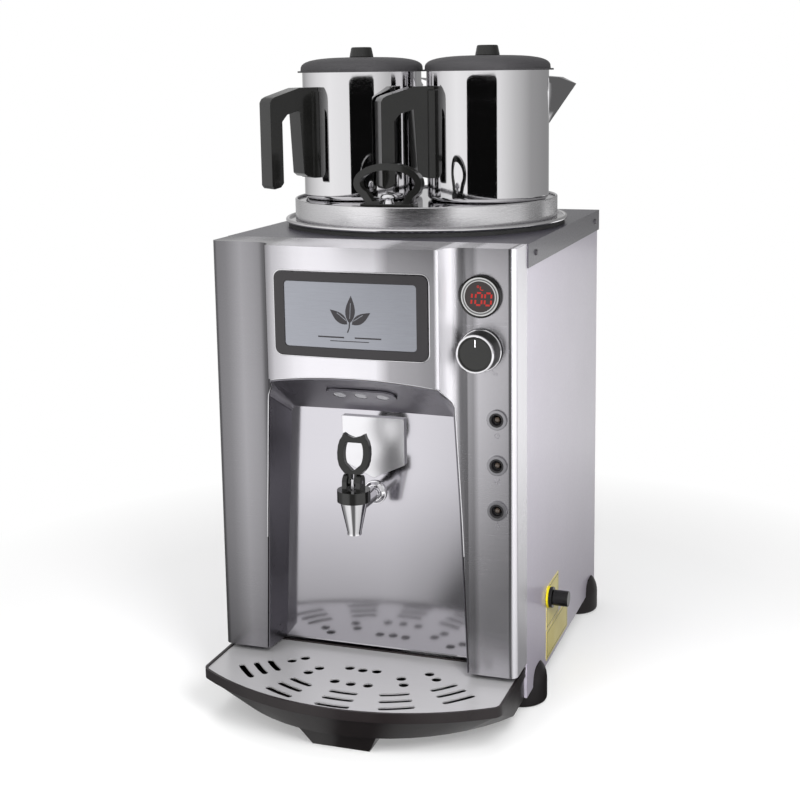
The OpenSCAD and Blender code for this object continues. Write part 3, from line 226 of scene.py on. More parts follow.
def polished(name, colour, roughness=0.045, wave=40 * MICRON, **sockets):
    """Chrome or mirror-polished steel with faint smears and specks and a slight waviness."""
    s = Surface(name, colour, 1.0, roughness, **sockets)
    smear = s.noise((22.0, 22.0, 60.0), detail=4.0, roughness=0.65)
    specks = s.noise(900.0)
    smears = s.math("MULTIPLY", s.spread(smear, 0.0, 1.0, at=(0.45, 0.75)), 0.06)
    dull = s.math("ADD", smears, s.spread(specks, 0.0, 0.012))
    s.to_shader(s.math("ADD", dull, roughness), "Roughness")
    s.bump(s.noise((14.0, 14.0, 8.0), detail=1.0), wave, strength=0.35)
    return s


def moulded(name, light, dark, roughness, grain=2600.0, depth=50 * MICRON, **sockets):
    """Moulded plastic or rubber, also print: fine pits, uneven gloss and a faintly cloudy tone."""
    s = Surface(name, light, 0.0, roughness, **sockets)
    pits = s.noise(grain, detail=3.0, roughness=0.6)
    cloud = s.noise(28.0, detail=3.0, roughness=0.6)
    s.to_shader(s.blend(s.spread(cloud, 0.0, 1.0), dark, light), "Base Color")
    gloss = s.spread(cloud, roughness - 0.04, roughness + 0.05)
    s.to_shader(s.math("ADD", s.spread(pits, -0.06, 0.06), gloss), "Roughness")
    s.bump(pits, depth, strength=0.5)
    return s


def painted(name, light, dark, roughness):
    """Stove enamel on sheet: orange peel, fine flecks and a cloudy tone."""
    s = Surface(name, light, 0.0, roughness, Coat_Weight=0.25, Coat_Roughness=0.12)
    peel = s.noise(420.0)
    fleck = s.noise(3800.0, detail=1.0)
    cloud = s.noise(7.0, detail=3.0, roughness=0.6)
    tone = s.math("ADD", s.math("MULTIPLY", cloud, 0.8), s.math("MULTIPLY", fleck, 0.2))
    s.to_shader(s.blend(s.spread(tone, 0.0, 1.0), dark, light), "Base Color")
    s.to_shader(s.spread(peel, roughness - 0.05, roughness + 0.05), "Roughness")
    s.bump(peel, 30 * MICRON, strength=0.5)
    return s


# The fascia's painted shade and highlights over x, in metres, from the left pillar over the bowed centre to
# the right edge
FASCIA_EDGE = 0.18
FASCIA_PAINTED_LIGHT = (
    (-0.176, 0.20), (-0.158, 0.26), (-0.140, 0.42), (-0.125, 0.36), (-0.110, 0.26), (-0.099, 0.28),
    (-0.090, 0.60), (-0.065, 0.92), (-0.050, 1.0), (0.028, 1.0), (0.044, 0.50), (0.0935, 0.44),
    (0.0965, 0.84), (0.106, 0.84), (0.113, 0.50), (0.128, 0.40), (0.134, 0.74), (0.166, 0.66),
    (0.1675, 0.25), (0.169, 0.25), (0.1705, 0.86),
)
# How metallic it is at its right folds: less metal lets the lamps light the painted highlights there in
# place of a reflection
FOLDS_FROM = 0.08
FOLD_METAL = ((0.093, 1.0), (0.096, 0.3), (0.106, 0.4), (0.112, 1.0), (0.169, 1.0), (0.1715, 0.35))


def fascia_steel():
    """Horizontally brushed steel with painted shade and highlights over its pillars and folds, less
    metallic where it faces up.
    """
    s = brushed("fascia_steel", "#dddbe0", "#d7d5da", 0.26, X, depth=1.2 * MICRON, swing=0.012,
                Anisotropic=0.7, Anisotropic_Rotation=0.25)
    # painted shade and highlights: the base colour times grey levels over x
    s.shade(s.ramp(s.place(X), -FASCIA_EDGE, FASCIA_EDGE, FASCIA_PAINTED_LIGHT))
    folds = s.ramp(s.place(X), FOLDS_FROM, FASCIA_EDGE, FOLD_METAL)
    s.to_shader(s.math("MINIMUM", folds, s.spread(s.facing(Z), 1.0, 0.45, at=(0.7, 0.9))), "Metallic")
    return s


# Painted steps and painted shadow lines on the flat display bezel, as grey levels over the distance from
# its middle, in metres
BEZEL_FROM, BEZEL_TO = 0.014, 0.026
BEZEL_PAINTED_STEPS = ((0.0150, 0.35), (0.0166, 0.50), (0.0172, 0.45), (0.0178, 0.10), (0.0186, 0.12),
               (0.0192, 0.40), (0.0204, 0.55), (0.0209, 0.10))


def painted_bezel():
    """The display's flat bezel, painted with two bright steps, each with a painted shadow line outside it.
    """
    s = polished("painted_bezel", "#dddcdf")
    radius = s.node("VectorMath", {0: s.coords.outputs["Object"]}, operation="DISTANCE")
    radius.inputs[1].default_value = (DISPLAY.x, DISPLAY_FACE_Y, DISPLAY.z)
    # painted steps and shadow lines by distance from the display's middle
    s.to_shader(s.ramp(radius.outputs["Value"], BEZEL_FROM, BEZEL_TO, BEZEL_PAINTED_STEPS), "Base Color")
    return s


def niche_paint():
    """Dark grey satin walls under a ceiling painted paler, as painted light on the faces that face down."""
    s = brushed("niche_grey", "#7b797f", "#737177", 0.3, Y)
    faces_down = s.math("LESS_THAN", s.facing(Z), -0.3)
    # painted light: faces that face down are paler
    s.to_shader(s.blend(faces_down, s.base_colour(), "#bab8bd"), "Base Color")
    return s


def tray_steel():
    """The drip plate's satin sheet, only part metal so that it stays pale."""
    s = brushed("tray_steel", "#c9c8ca", "#c2c1c3", 0.34, X, grain=3600.0, length=30.0)
    s.put("Metallic", 0.45)
    return s


def lid_steel():
    """The tank lid: a mirror plate inside a brushed skirt."""
    s = polished("lid_steel", "#d6d5d7", 0.05)
    top = s.math("GREATER_THAN", s.facing(Z), 0.8)
    skirt = s.spread(s.noise((60.0, 60.0, 2400.0), detail=3.0, roughness=0.6), 0.17, 0.30)
    plate = s.spread(s.noise(30.0, detail=3.0), 0.035, 0.08)
    s.to_shader(s.between(top, skirt, plate), "Roughness")
    return s


def glowing(name, colour, strength):
    """Lit figures that glow a little unevenly."""
    s = Surface(name, "#1a0504", 0.0, 0.4)
    s.put("Emission Color", rgb(colour))
    cells = s.noise(2500.0, detail=1.0)
    s.to_shader(s.spread(cells, strength * 0.9, strength * 1.1), "Emission Strength")
    return s


def clear_lens(name, colour, roughness=0.08, coat=0.8):
    """Coated glass or plastic with a finely uneven face."""
    s = Surface(name, colour, 0.0, roughness, Coat_Weight=coat, Coat_Roughness=0.04)
    cells = s.noise(700.0)
    s.to_shader(s.spread(cells, roughness - 0.03, roughness + 0.06), "Roughness")
    s.bump(cells, 30 * MICRON, strength=0.4)
    return s


def wool():
    """Loose mineral wool."""
    s = Surface("mineral_wool", "#cfc8ab", 0.0, 0.95)
    strands = s.noise((900.0, 900.0, 260.0), detail=5.0, roughness=0.7, distortion=0.8)
    s.to_shader(s.blend(s.spread(strands, 0.0, 1.0), "#a59c7b", "#e0dac2"), "Base Color")
    s.bump(strands, 1000 * MICRON, strength=0.8)
    return s


def label_film():
    """Pale yellow coated film."""
    s = Surface("label_film", "#e4d47c", 0.0, 0.38, Coat_Weight=0.3, Coat_Roughness=0.2)
    fibre = s.noise(1500.0)
    cloud = s.noise(30.0)
    s.to_shader(s.blend(s.spread(cloud, 0.0, 1.0), "#dccb6c", "#eadc8c"), "Base Color")
    s.bump(fibre, 30 * MICRON, strength=0.3)
    return s


# Finishes, by name: most calls give a name, a light and a dark tone, and the roughness
MATERIALS = {
    "fascia_steel": fascia_steel(),
    "niche_paint": niche_paint(),
    "polished_sheet": brushed("polished_sheet", "#b6b4b9", "#b2b0b6", 0.12, X, depth=0.8 * MICRON,
                              swing=0.012, Coat_Weight=0.4, Coat_Roughness=0.06),
    "cover_paint": painted("cover_paint", "#3d3b43", "#38363e", 0.34),
    "panel_paint": painted("panel_paint", "#c3bdca", "#bdb7c4", 0.36),
    "black_moulding": moulded("black_moulding", "#1d1a1b", "#181516", 0.45, Specular_IOR_Level=0.35),
    "tray_black": moulded("tray_black", "#241f20", "#1e191a", 0.34, depth=20 * MICRON),
    "painted_bezel": painted_bezel(),
    "dull_chrome": polished("dull_chrome", "#98979b", 0.12),
    "tap_chrome": polished("tap_chrome", "#f6f5f8", 0.04),
    "black_gloss": moulded("black_gloss", "#121211", "#0e0e0d", 0.3, depth=15 * MICRON,
                           Specular_IOR_Level=0.15, Coat_Weight=0.7, Coat_Roughness=0.07),
    "chrome_part": polished("chrome_part", "#dddcdf"),
    "mirror_steel": polished("pot_steel", "#dcdbdd", 0.025, 30 * MICRON),
    "lid_steel": lid_steel(),
    "lid_coating": moulded("lid_coating", "#363537", "#302f31", 0.52, grain=1800.0, depth=40 * MICRON),
    "badge_black": moulded("badge_black", "#222022", "#1d1b1d", 0.36, depth=20 * MICRON),
    "badge_silver": brushed("badge_silver", "#a0a2aa", "#96989f", 0.34, X, grain=2600.0, length=20.0),
    "label_film": label_film(),
    "yellow_moulding": moulded("yellow_moulding", "#e9d71f", "#dfcb14", 0.35),
    "lens": clear_lens("frosted_lens", "#d9d8dd", 0.2),
    "lamp_lens": clear_lens("lamp_lens", "#3a322c"),
    "display_glass": clear_lens("display_glass", "#120605", 0.06, 0.1),
    "dark_steel": brushed("dark_steel", "#6e6c70", "#5c5a5e", 0.35, X, grain=900.0, length=4.0),
    "plain_steel": brushed("plain_steel", "#c6c5c8", "#b6b5b8", 0.26, X, grain=1200.0, length=8.0),
    "seal_rubber": moulded("seal_rubber", "#262626", "#1f1f1f", 0.7),
    "seat_rubber": moulded("seat_rubber", "#d8d6cf", "#cbc9c1", 0.6),
    "brass_part": brushed("brass_part", "#b9924f", "#a37f42", 0.3, X, grain=900.0, length=5.0),
    "mineral_wool": wool(),
    "pale_moulding": moulded("pale_moulding", "#dedacf", "#d2cec3", 0.45),
    "red_moulding": moulded("red_moulding", "#b03028", "#9c2a22", 0.4),
    "mouth_edge": polished("mouth_edge", "#e6e5e8", 0.12),
    "plate_steel": polished("plate_steel", "#e0dfe2", 0.3, 30 * MICRON),
    "tray_steel": tray_steel(),
    "ink": moulded("ink", "#2a282b", "#222023", 0.45),
    "grey_ink": moulded("grey_ink", "#6f6d72", "#646267", 0.5),
    "white_ink": moulded("white_ink", "#e8e8ea", "#dddde0", 0.4),
    "red_light": glowing("red_light", "#c0221b", 1.0),
    "lamp_well": moulded("lamp_well", "#19181a", "#131214", 0.3),
}

# CAD nodes whose finish isn't their record slot's own
FINISH = {
    "drip_plate": "tray_steel", "tank_lid": "lid_steel", "tap_plate": "plate_steel",
    "tap_body": "tap_chrome", "drip_tray": "tray_black", "display_bezel": "painted_bezel",
    "lamp_bezels": "dull_chrome",
}


def finish_of(node):
    return FINISH.get(node, SLOT_OF[node])


def dress(obj, finish):
    obj.data.materials.clear()
    obj.data.materials.append(MATERIALS[finish].material)


# ---- Mesh tools ----

TINY = 1e-6  # metres: points this close are one
FLAT_WITHIN = 0.5  # degrees between faces that count as one flat face
ROUND_FROM = 38.0  # degrees from which an edge is rounded
ROUND_SEGMENTS = 3
SHARP_FROM = 32.0  # degrees from which a reworked solid's edge shows
TUBE_SIDES = 8


def add_object(name, data):
    obj = bpy.data.objects.new(name, data)
    bpy.context.scene.collection.objects.link(obj)
    return obj


def aim(obj, at, target):
    """Places an object and turns its -Z axis to the target."""
    obj.location = at
    obj.rotation_euler = (Vector(target) - Vector(at)).to_track_quat("-Z", "Y").to_euler()


def new_piece(name, bm, finish, body, smooth=30.0):
    """Turns a bmesh into a piece that rides on a body."""
    mesh = bpy.data.meshes.new(name)
    bm.to_mesh(mesh)
    bm.free()
    mesh.polygons.foreach_set("use_smooth", [True] * len(mesh.polygons))
    mesh.set_sharp_from_angle(angle=math.radians(smooth))
    obj = add_object(name, mesh)
    dress(obj, finish)
    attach(obj, body)
    return obj


def welded(node):
    """The node's mesh as one closed bmesh without texture coordinates."""
    bm = bmesh.new()
    bm.from_mesh(NODES[node].data)
    bmesh.ops.remove_doubles(bm, verts=bm.verts, dist=TINY)
    for layer in list(bm.loops.layers.uv):
        bm.loops.layers.uv.remove(layer)
    return bm


def reworked(node, round_by=0.0):
    """Stands for a CAD node: the same solid with smooth shading and softly rounded edges."""
    bm = welded(node)
    bmesh.ops.dissolve_limit(bm, angle_limit=math.radians(FLAT_WITHIN), verts=bm.verts, edges=bm.edges)
    if round_by:
        corner = math.radians(ROUND_FROM)
        sharp = [e for e in bm.edges if len(e.link_faces) == 2 and e.calc_face_angle(0.0) > corner]
        bmesh.ops.bevel(bm, geom=sharp, offset=round_by, segments=ROUND_SEGMENTS, profile=0.5,
                        affect="EDGES", clamp_overlap=True)
    obj = new_piece(node + "_form", bm, finish_of(node), BODY_OF[node], smooth=SHARP_FROM)
    weights = obj.modifiers.new("weights", "WEIGHTED_NORMAL")
    weights.keep_sharp = True
    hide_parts(node)


def sweep(bm, path, radius, closed=False):
    """A tube along a path of points."""
    rings = []
    count = len(path)
    for i, p in enumerate(path):
        before = path[(i - 1) % count] if closed or i else p
        after = path[(i + 1) % count] if closed or i < count - 1 else p
        ahead = (after - before).normalized()
        side = ahead.cross(Vector((0, 1, 0)))
        side = side.normalized() if side.length > TINY else Vector((1, 0, 0))
        up = side.cross(ahead).normalized()
        ring = []
        for k in range(TUBE_SIDES):
            a = 2 * math.pi * k / TUBE_SIDES
            ring.append(bm.verts.new(p + radius * (math.cos(a) * side + math.sin(a) * up)))
        rings.append(ring)
    pairs = list(zip(rings, rings[1:])) + ([(rings[-1], rings[0])] if closed else [])
    for first, second in pairs:
        for k in range(TUBE_SIDES):
            j = (k + 1) % TUBE_SIDES
            bm.faces.new((first[k], first[j], second[j], second[k]))
    if not closed:
        bm.faces.new(list(reversed(rings[0])))
        bm.faces.new(rings[-1])


def lathe(bm, profile, centre, steps=64):
    """Turns a closed profile of (radius, distance to the front) about the front-to-back line at centre."""
    axis = Vector((0, -1, 0))
    side = axis.orthogonal().normalized()
    up = axis.cross(side)
    rings = []
    for i in range(steps):
        a = 2 * math.pi * i / steps
        out = math.cos(a) * side + math.sin(a) * up
        rings.append([bm.verts.new(centre + r * out + d * axis) for r, d in profile])
    for first, second in zip(rings, rings[1:] + rings[:1]):
        for k in range(len(profile)):
            j = (k + 1) % len(profile)
            bm.faces.new((first[k], first[j], second[j], second[k]))
    bmesh.ops.recalc_face_normals(bm, faces=bm.faces)


def tree_of(node):
    mesh = NODES[node].data
    return BVHTree.FromPolygons([v.co for v in mesh.vertices], [p.vertices for p in mesh.polygons])


FASCIA_TREE = tree_of("fascia")
RAY_FROM_Y, RAY_LENGTH = -0.4, 0.25  # from before the front to behind the niche's mouth


def front_y(x, z, tree=FASCIA_TREE):
    """Depth of the first surface behind a point of the front, or None where the ray meets nothing."""
    hit = tree.ray_cast(Vector((x, RAY_FROM_Y, z)), Vector((0, 1, 0)), RAY_LENGTH)
    return None if hit[0] is None else hit[0].y


INK_LIFT, INK_DEPTH = 0.00006, 0.00012  # how far print stands out, and its whole thickness


def ink(name, shapes, finish, tree, body="housing", lift=INK_LIFT):
    """Flat printed shapes laid on a front surface: each is a list of (x, z) points."""
    bm = bmesh.new()
    for shape in shapes:
        rings = []
        for out in (-lift, INK_DEPTH - lift):
            rings.append([bm.verts.new((x, front_y(x, z, tree) + out, z)) for x, z in shape])
        bm.faces.new(rings[0])
        bm.faces.new(list(reversed(rings[1])))
        count = len(shape)
        for k in range(count):
            j = (k + 1) % count
            bm.faces.new((rings[0][j], rings[0][k], rings[1][k], rings[1][j]))
    bmesh.ops.recalc_face_normals(bm, faces=bm.faces)
    new_piece(name, bm, finish, body)


# ---- Flat outlines, as (x, z) points ----

def stroke(points, width):
    """A list of quads that draw a line of that width through the points."""
    quads = []
    for (x0, z0), (x1, z1) in zip(points, points[1:]):
        d = Vector((x1 - x0, z1 - z0))
        n = Vector((-d.y, d.x)).normalized() * width / 2
        quads.append([(x0 + n.x, z0 + n.y), (x0 - n.x, z0 - n.y),
                      (x1 - n.x, z1 - n.y), (x1 + n.x, z1 + n.y)])
    return quads


def cut_along(quad, count=6):
    """A quad as a row of shorter ones, so that print follows a curved sheet."""
    (xa, za), (xb, zb), (xc, _), (xd, _) = quad
    row = []
    for k in range(count):
        here, there = k / count, (k + 1) / count
        row.append([(xa + (xd - xa) * here, za), (xb + (xc - xb) * here, zb),
                    (xb + (xc - xb) * there, zb), (xa + (xd - xa) * there, za)])
    return row


def polar(cx, cz, radius, turn):
    """The point at that distance from (cx, cz), at degrees clockwise from straight up."""
    a = math.radians(turn)
    return cx + radius * math.sin(a), cz + radius * math.cos(a)


def arc(cx, cz, radius, start, end, count):
    """Points on an arc about (cx, cz), from start to end degrees."""
    return [polar(cx, cz, radius, start + (end - start) * i / count) for i in range(count + 1)]


def rounded_rect_points(w, h, r, cx, cz, per_corner=6):
    points = []
    for sx, sz, a0 in ((1, 1, 0), (1, -1, 90), (-1, -1, 180), (-1, 1, 270)):
        for i in range(per_corner + 1):
            points.append(polar(cx + sx * (w / 2 - r), cz + sz * (h / 2 - r), r, a0 + 90 * i / per_corner))
    return points


def dense(points, step=0.004):
    """The same closed outline with points less than two steps apart."""
    result = []
    for a, b in zip(points, points[1:] + points[:1]):
        n = max(1, int(math.hypot(b[0] - a[0], b[1] - a[1]) / step))
        result += [(a[0] + (b[0] - a[0]) * k / n, a[1] + (b[1] - a[1]) * k / n) for k in range(n)]
    return result


# ---- Camera, light and floor ----

CLIP_FROM, CLIP_TO = 0.05, 60.0

# Lights: name, place, target, width and height, watts
SOFTBOXES = (
    ("key", (-0.9, -1.9, 1.6), (0, -0.1, 0.35), (1.3, 1.6), 24),
    ("side", (0.52, -0.85, 0.72), (0.17, -0.05, 0.45), (0.35, 0.5), 12),
    ("top", (-0.1, 0.1, 2.3), (0, 0, 0.4), (1.5, 1.5), 24),
)

# The dark card that draws the pots' stripes: place, target, width and height, level
DARK_FLAG = ((0.166, -0.518, 0.612), (0.341, 0.467, 0.612), (0.536, 0.206), 0.004)
CARD_CORNER, CARD_STRETCH = 0.12, 12.0  # round mirrors narrow a card, so its corners are wide ellipses

# Light from each compass direction: degrees to the right of straight in front of the object, and radiance.
# Pots and lid see the walls. The casing sees the floor's sweep, which has one dark gap in front, and a
# second one that draws the right pot's beak.
WALLS = (
    (-180, 0.30), (-170, 0.35), (-161, 0.60), (-150, 0.50), (-130, 0.40), (-101, 0.70), (-76, 0.92),
    (-45, 1.10), (-25, 1.05), (38, 0.95), (68, 0.67), (104, 0.40), (138, 0.34), (165, 0.30), (180, 0.30),
)
SWEEP = (
    (-180, 0.80), (-110, 0.45), (-75, 0.60), (-55, 1.45), (-20, 1.60), (-10, 1.20), (-3, 0.30), (24, 0.22),
    (32, 0.80), (42, 1.50), (110, 1.60), (119, 0.14), (138, 0.14), (147, 1.60), (180, 0.90),
)
SWEEP_CENTRE_Y = -0.25
# The sweep's share of that light near the object, and the distances between which it rises to all of it
SWEEP_NEAR, SWEEP_RISE = 0.34, (0.35, 1.1)
FILL = 0.42  # share of the walls' light that reaches matt surfaces

FLOOR_HALF, FLOOR_Z = 4, -0.0004
# The distances between which the floor turns plain white, and the share of white that it has nearer
FADE_WITHIN, FADE_LEAST = (0.36, 0.80), 0.3
BOUNCE_GREY = "#8e8e8e"  # the floor as matt surfaces see it


def camera():
    yaw, pitch, roll = map(math.radians, CAMERA_TURN)
    ahead = Vector((-math.sin(yaw) * math.cos(pitch), math.cos(yaw) * math.cos(pitch), -math.sin(pitch)))
    right = Vector((math.cos(yaw), math.sin(yaw), 0))
    up = right.cross(ahead)
    right, up = math.cos(roll) * right + math.sin(roll) * up, -math.sin(roll) * right + math.cos(roll) * up
    data = bpy.data.cameras.new("camera")
    data.sensor_width = SENSOR
    data.lens = FOCAL_PX / FRAME_PX * SENSOR
    data.shift_x = (FRAME_PX / 2 - CENTRE_PX[0]) / FRAME_PX
    data.shift_y = (CENTRE_PX[1] - FRAME_PX / 2) / FRAME_PX
    data.clip_start, data.clip_end = CLIP_FROM, CLIP_TO
    obj = add_object("camera", data)
    obj.matrix_world = Matrix.Translation(CAMERA_AT) @ Matrix((right, up, -ahead)).transposed().to_4x4()
    bpy.context.scene.camera = obj


def softbox(name, at, target, size, power):
    """A white area light that reflections don't show."""
    data = bpy.data.lights.new(name, "AREA")
    data.shape, data.size, data.size_y = "RECTANGLE", size[0], size[1]
    data.energy = power
    obj = add_object(name, data)
    aim(obj, at, target)
    obj.visible_glossy = False


def card(name, at, target, size, level):
    """A studio card that only shows in reflections: level 0 is black, 1 is white."""
    mesh = bpy.data.meshes.new(name)
    outline = rounded_rect_points(size[0], size[1] * CARD_STRETCH, CARD_CORNER, 0, 0)
    mesh.from_pydata([(x, y / CARD_STRETCH, 0) for x, y in outline], [], [tuple(range(len(outline)))])
    material = bpy.data.materials.new(name)
    material.use_nodes = True
    nodes = material.node_tree.nodes
    nodes.clear()
    out = nodes.new("ShaderNodeOutputMaterial")
    glow = nodes.new("ShaderNodeEmission")
    glow.inputs["Color"].default_value = (level, level, level, 1)
    material.node_tree.links.new(glow.outputs[0], out.inputs["Surface"])
    mesh.materials.append(material)
    obj = add_object(name, mesh)
    aim(obj, at, target)
    obj.visible_camera = obj.visible_diffuse = obj.visible_shadow = obj.visible_transmission = False


def light_by_turn(tree, across, ahead, levels):
    """Brightness by compass direction, as a colour output and the strength to use with it."""
    turn = tree.nodes.new("ShaderNodeMath")
    turn.operation = "ARCTAN2"
    share = tree.nodes.new("ShaderNodeMapRange")
    share.inputs["From Min"].default_value, share.inputs["From Max"].default_value = -math.pi, math.pi
    ramp = tree.nodes.new("ShaderNodeValToRGB")
    for output, socket in ((across, turn.inputs[0]), (ahead, turn.inputs[1]),
                           (turn.outputs[0], share.inputs[0]), (share.outputs[0], ramp.inputs[0])):
        tree.links.new(output, socket)
    peak = max(level for _, level in levels)
    set_stops(ramp.color_ramp, [((degrees + 180) / 360, level / peak) for degrees, level in levels])
    return ramp.outputs[0], peak


def room():
    """The world: the walls for reflections, a share of them for matt surfaces, white for the camera."""
    world = bpy.data.worlds.new("studio")
    bpy.context.scene.world = world
    world.use_nodes = True
    tree = world.node_tree
    tree.nodes.clear()

    def node(kind, *outputs):
        """A node whose first inputs take these outputs."""
        made = tree.nodes.new("ShaderNode" + kind)
        for socket, output in zip(made.inputs, outputs):
            tree.links.new(output, socket)
        return made

    parts = node("SeparateXYZ", node("TexCoord").outputs["Generated"])
    ahead = node("Math", parts.outputs[Y])
    ahead.operation, ahead.inputs[1].default_value = "MULTIPLY", -1.0
    colour, peak = light_by_turn(tree, parts.outputs[X], ahead.outputs[0], WALLS)
    walls = node("Background", colour)
    fill = node("MapRange", node("LightPath").outputs["Is Glossy Ray"])
    fill.inputs["To Min"].default_value, fill.inputs["To Max"].default_value = FILL * peak, peak
    tree.links.new(fill.outputs[0], walls.inputs["Strength"])
    white = node("Background")
    white.inputs["Color"].default_value = (1, 1, 1, 1)
    mix = node("MixShader", node("LightPath").outputs["Is Camera Ray"], walls.outputs[0], white.outputs[0])
    node("OutputWorld", mix.outputs[0])


def floor():
    """A white paper floor that shows the shadow near the object and fades to plain white for the camera.

    Glossy rays see a sweep in its place, lit by direction and darker near the object. Diffuse rays see
    it grey.
    """
    half = FLOOR_HALF
    mesh = bpy.data.meshes.new("floor")
    mesh.from_pydata([(-half, -half, 0), (half, -half, 0), (half, half, 0), (-half, half, 0)], [],
                     [(0, 1, 2, 3)])
    s = Surface("floor_paper", "#fafafa", 0.0, 0.6)
    s.to_shader(s.spread(s.noise(260.0), 0.55, 0.65), "Roughness")
    rays = s.node("LightPath").outputs
    distance = s.node("VectorMath", {0: s.coords.outputs["Object"]}, operation="LENGTH").outputs["Value"]

    fade = s.math("MAXIMUM", s.spread(distance, 0.0, 1.0, at=FADE_WITHIN), FADE_LEAST)
    white = s.node("Emission")
    grey = s.node("BsdfDiffuse", Color=rgb(BOUNCE_GREY))
    paper = s.node("MixShader", {0: rays["Is Diffuse Ray"], 1: s.shader.outputs[0], 2: grey.outputs[0]})
    share = s.math("MULTIPLY", fade, rays["Is Camera Ray"])
    faded = s.node("MixShader", {0: share, 1: paper.outputs[0], 2: white.outputs[0]})

    ahead = s.math("SUBTRACT", SWEEP_CENTRE_Y, s.place(Y))
    colour, peak = light_by_turn(s.tree, s.place(X), ahead, SWEEP)
    strength = s.math("MULTIPLY", s.spread(distance, SWEEP_NEAR, 1.0, at=SWEEP_RISE), peak)
    lit = s.node("Emission", {"Color": colour, "Strength": strength})
    seen = s.node("MixShader", {0: rays["Is Glossy Ray"], 1: faded.outputs[0], 2: lit.outputs[0]})
    s.link(seen.outputs[0], s.tree.nodes["Material Output"], "Surface")

    mesh.materials.append(s.material)
    obj = add_object("floor", mesh)
    obj.location.z = FLOOR_Z


def studio():
    bpy.context.scene.view_settings.view_transform = "Standard"
    room()
    for box in SOFTBOXES:
        softbox(*box)
    card("dark_flag", *DARK_FLAG)
    floor()


# ---- Niche and badge ----

# The search for the mouth's edge, outwards from the niche's middle
MOUTH_TURN, MOUTH_STEPS = 118, 150  # degrees to each side of straight up, and steps in all
MOUTH_NEAR, MOUTH_FAR, MOUTH_HALVINGS = 0.02, 0.30, 24
OVER_FLOOR = 0.0005  # how far above the niche's floor the search stays
MOUTH_LAP = 0.0004  # how far beyond the edge the bead lies
MOUTH_TOP_Z, FRONT_SLACK = 0.43, 0.002  # points higher or deeper than this aren't the mouth's edge
MOUTH_BEAD_R = 0.0007

BADGE_LAP, BADGE_CORNER = 0.0022, 0.009  # how much wider the trim is than the frame, corner radius
BADGE_TRIM_R, BADGE_TRIM_LIFT = 0.0008, 0.0003
TUBE_SHADE = 60  # degrees from which a thin tube's edge shows


def is_open(out, reach):
    """Whether the mouth is open that far from the niche's middle."""
    return front_y(out.x * reach, NICHE_MID_Z + out.y * reach) is None


def mouth_edge_points():
    """Points on the fascia's front surface round the mouth, from the lower left to the lower right."""
    points = []
    for i in range(MOUTH_STEPS + 1):
        turn = math.radians(-MOUTH_TURN + 2 * MOUTH_TURN * i / MOUTH_STEPS)
        out = Vector((math.sin(turn), math.cos(turn)))
        near, far = MOUTH_NEAR, MOUTH_FAR
        if out.y < 0:
            far = min(far, (NICHE_MID_Z - NICHE_FLOOR_Z - OVER_FLOOR) / -out.y)
            if is_open(out, far):
                continue
        for _ in range(MOUTH_HALVINGS):
            middle = (near + far) / 2
            if is_open(out, middle):
                near = middle
            else:
                far = middle
        x, z = out.x * (far + MOUTH_LAP), NICHE_MID_Z + out.y * (far + MOUTH_LAP)
        y = front_y(x, z)
        if y is not None and z < MOUTH_TOP_Z and y < FRONT_Y + FRONT_SLACK:
            points.append(Vector((x, y, z)))
    return points


def mouth_bead():
    """The thin bright bead of folded sheet round the niche mouth."""
    bm = bmesh.new()
    sweep(bm, mouth_edge_points(), MOUTH_BEAD_R)
    new_piece("mouth_bead", bm, "mouth_edge", "housing", TUBE_SHADE)


def badge_trim():
    """A thin bright trim round the badge frame."""
    bm = bmesh.new()
    outline = dense(rounded_rect_points(BADGE_W + BADGE_LAP, BADGE_H + BADGE_LAP, BADGE_CORNER, 0, BADGE_Z))
    path = [Vector((x, front_y(x, z) - BADGE_TRIM_LIFT, z)) for x, z in outline]
    sweep(bm, path, BADGE_TRIM_R, closed=True)
    new_piece("badge_trim", bm, "mouth_edge", "housing", TUBE_SHADE)


# The badge's sprig: its stem's top lies at (SPRIG_X, SPRIG_Z)
SPRIG_X, SPRIG_Z = 0.0005, BADGE_Z - 0.008
LEAVES = (  # x, height from the stem's top, length, turn, width
    (0.0005, 0.0, 0.030, 4, 0.011), (-0.002, -0.001, 0.025, -52, 0.010), (0.003, -0.001, 0.025, 58, 0.010),
)
STEM, STEM_WIDTH = ((0.0005, 0.001), (0.0, -0.005), (-0.002, -0.010)), 0.0014
VEINS = ((4, 0.022), (-52, 0.018), (58, 0.018))  # turn, distance from the stem's top to the end
VEIN_START, VEIN_WIDTH, VEIN_LIFT = 0.005, 0.0006, 0.00012
RULES = (  # from x, to x, height from the badge's middle, width
    (-0.036, -0.006, -0.0235, 0.0016), (0.006, 0.036, -0.0235, 0.0016), (-0.022, 0.022, -0.0275, 0.0009),
)


LEAF_BIAS, LEAF_STEPS = 0.8, 10  # less than 1 puts a leaf's widest place below its middle


def leaf(cx, cz, length, turn, width):
    """A pointed leaf outline whose stem end is at (cx, cz)."""
    along = Vector(polar(0, 0, 1, turn))
    across = Vector((along.y, -along.x))
    right, left = [], []
    for i in range(LEAF_STEPS + 1):
        t = i / LEAF_STEPS
        half = width * math.sin(math.pi * t ** LEAF_BIAS) / 2
        p = Vector((cx, cz)) + along * length * t
        right.append(tuple(p + across * half))
        left.append(tuple(p - across * half))
    return right + left[-2:0:-1]


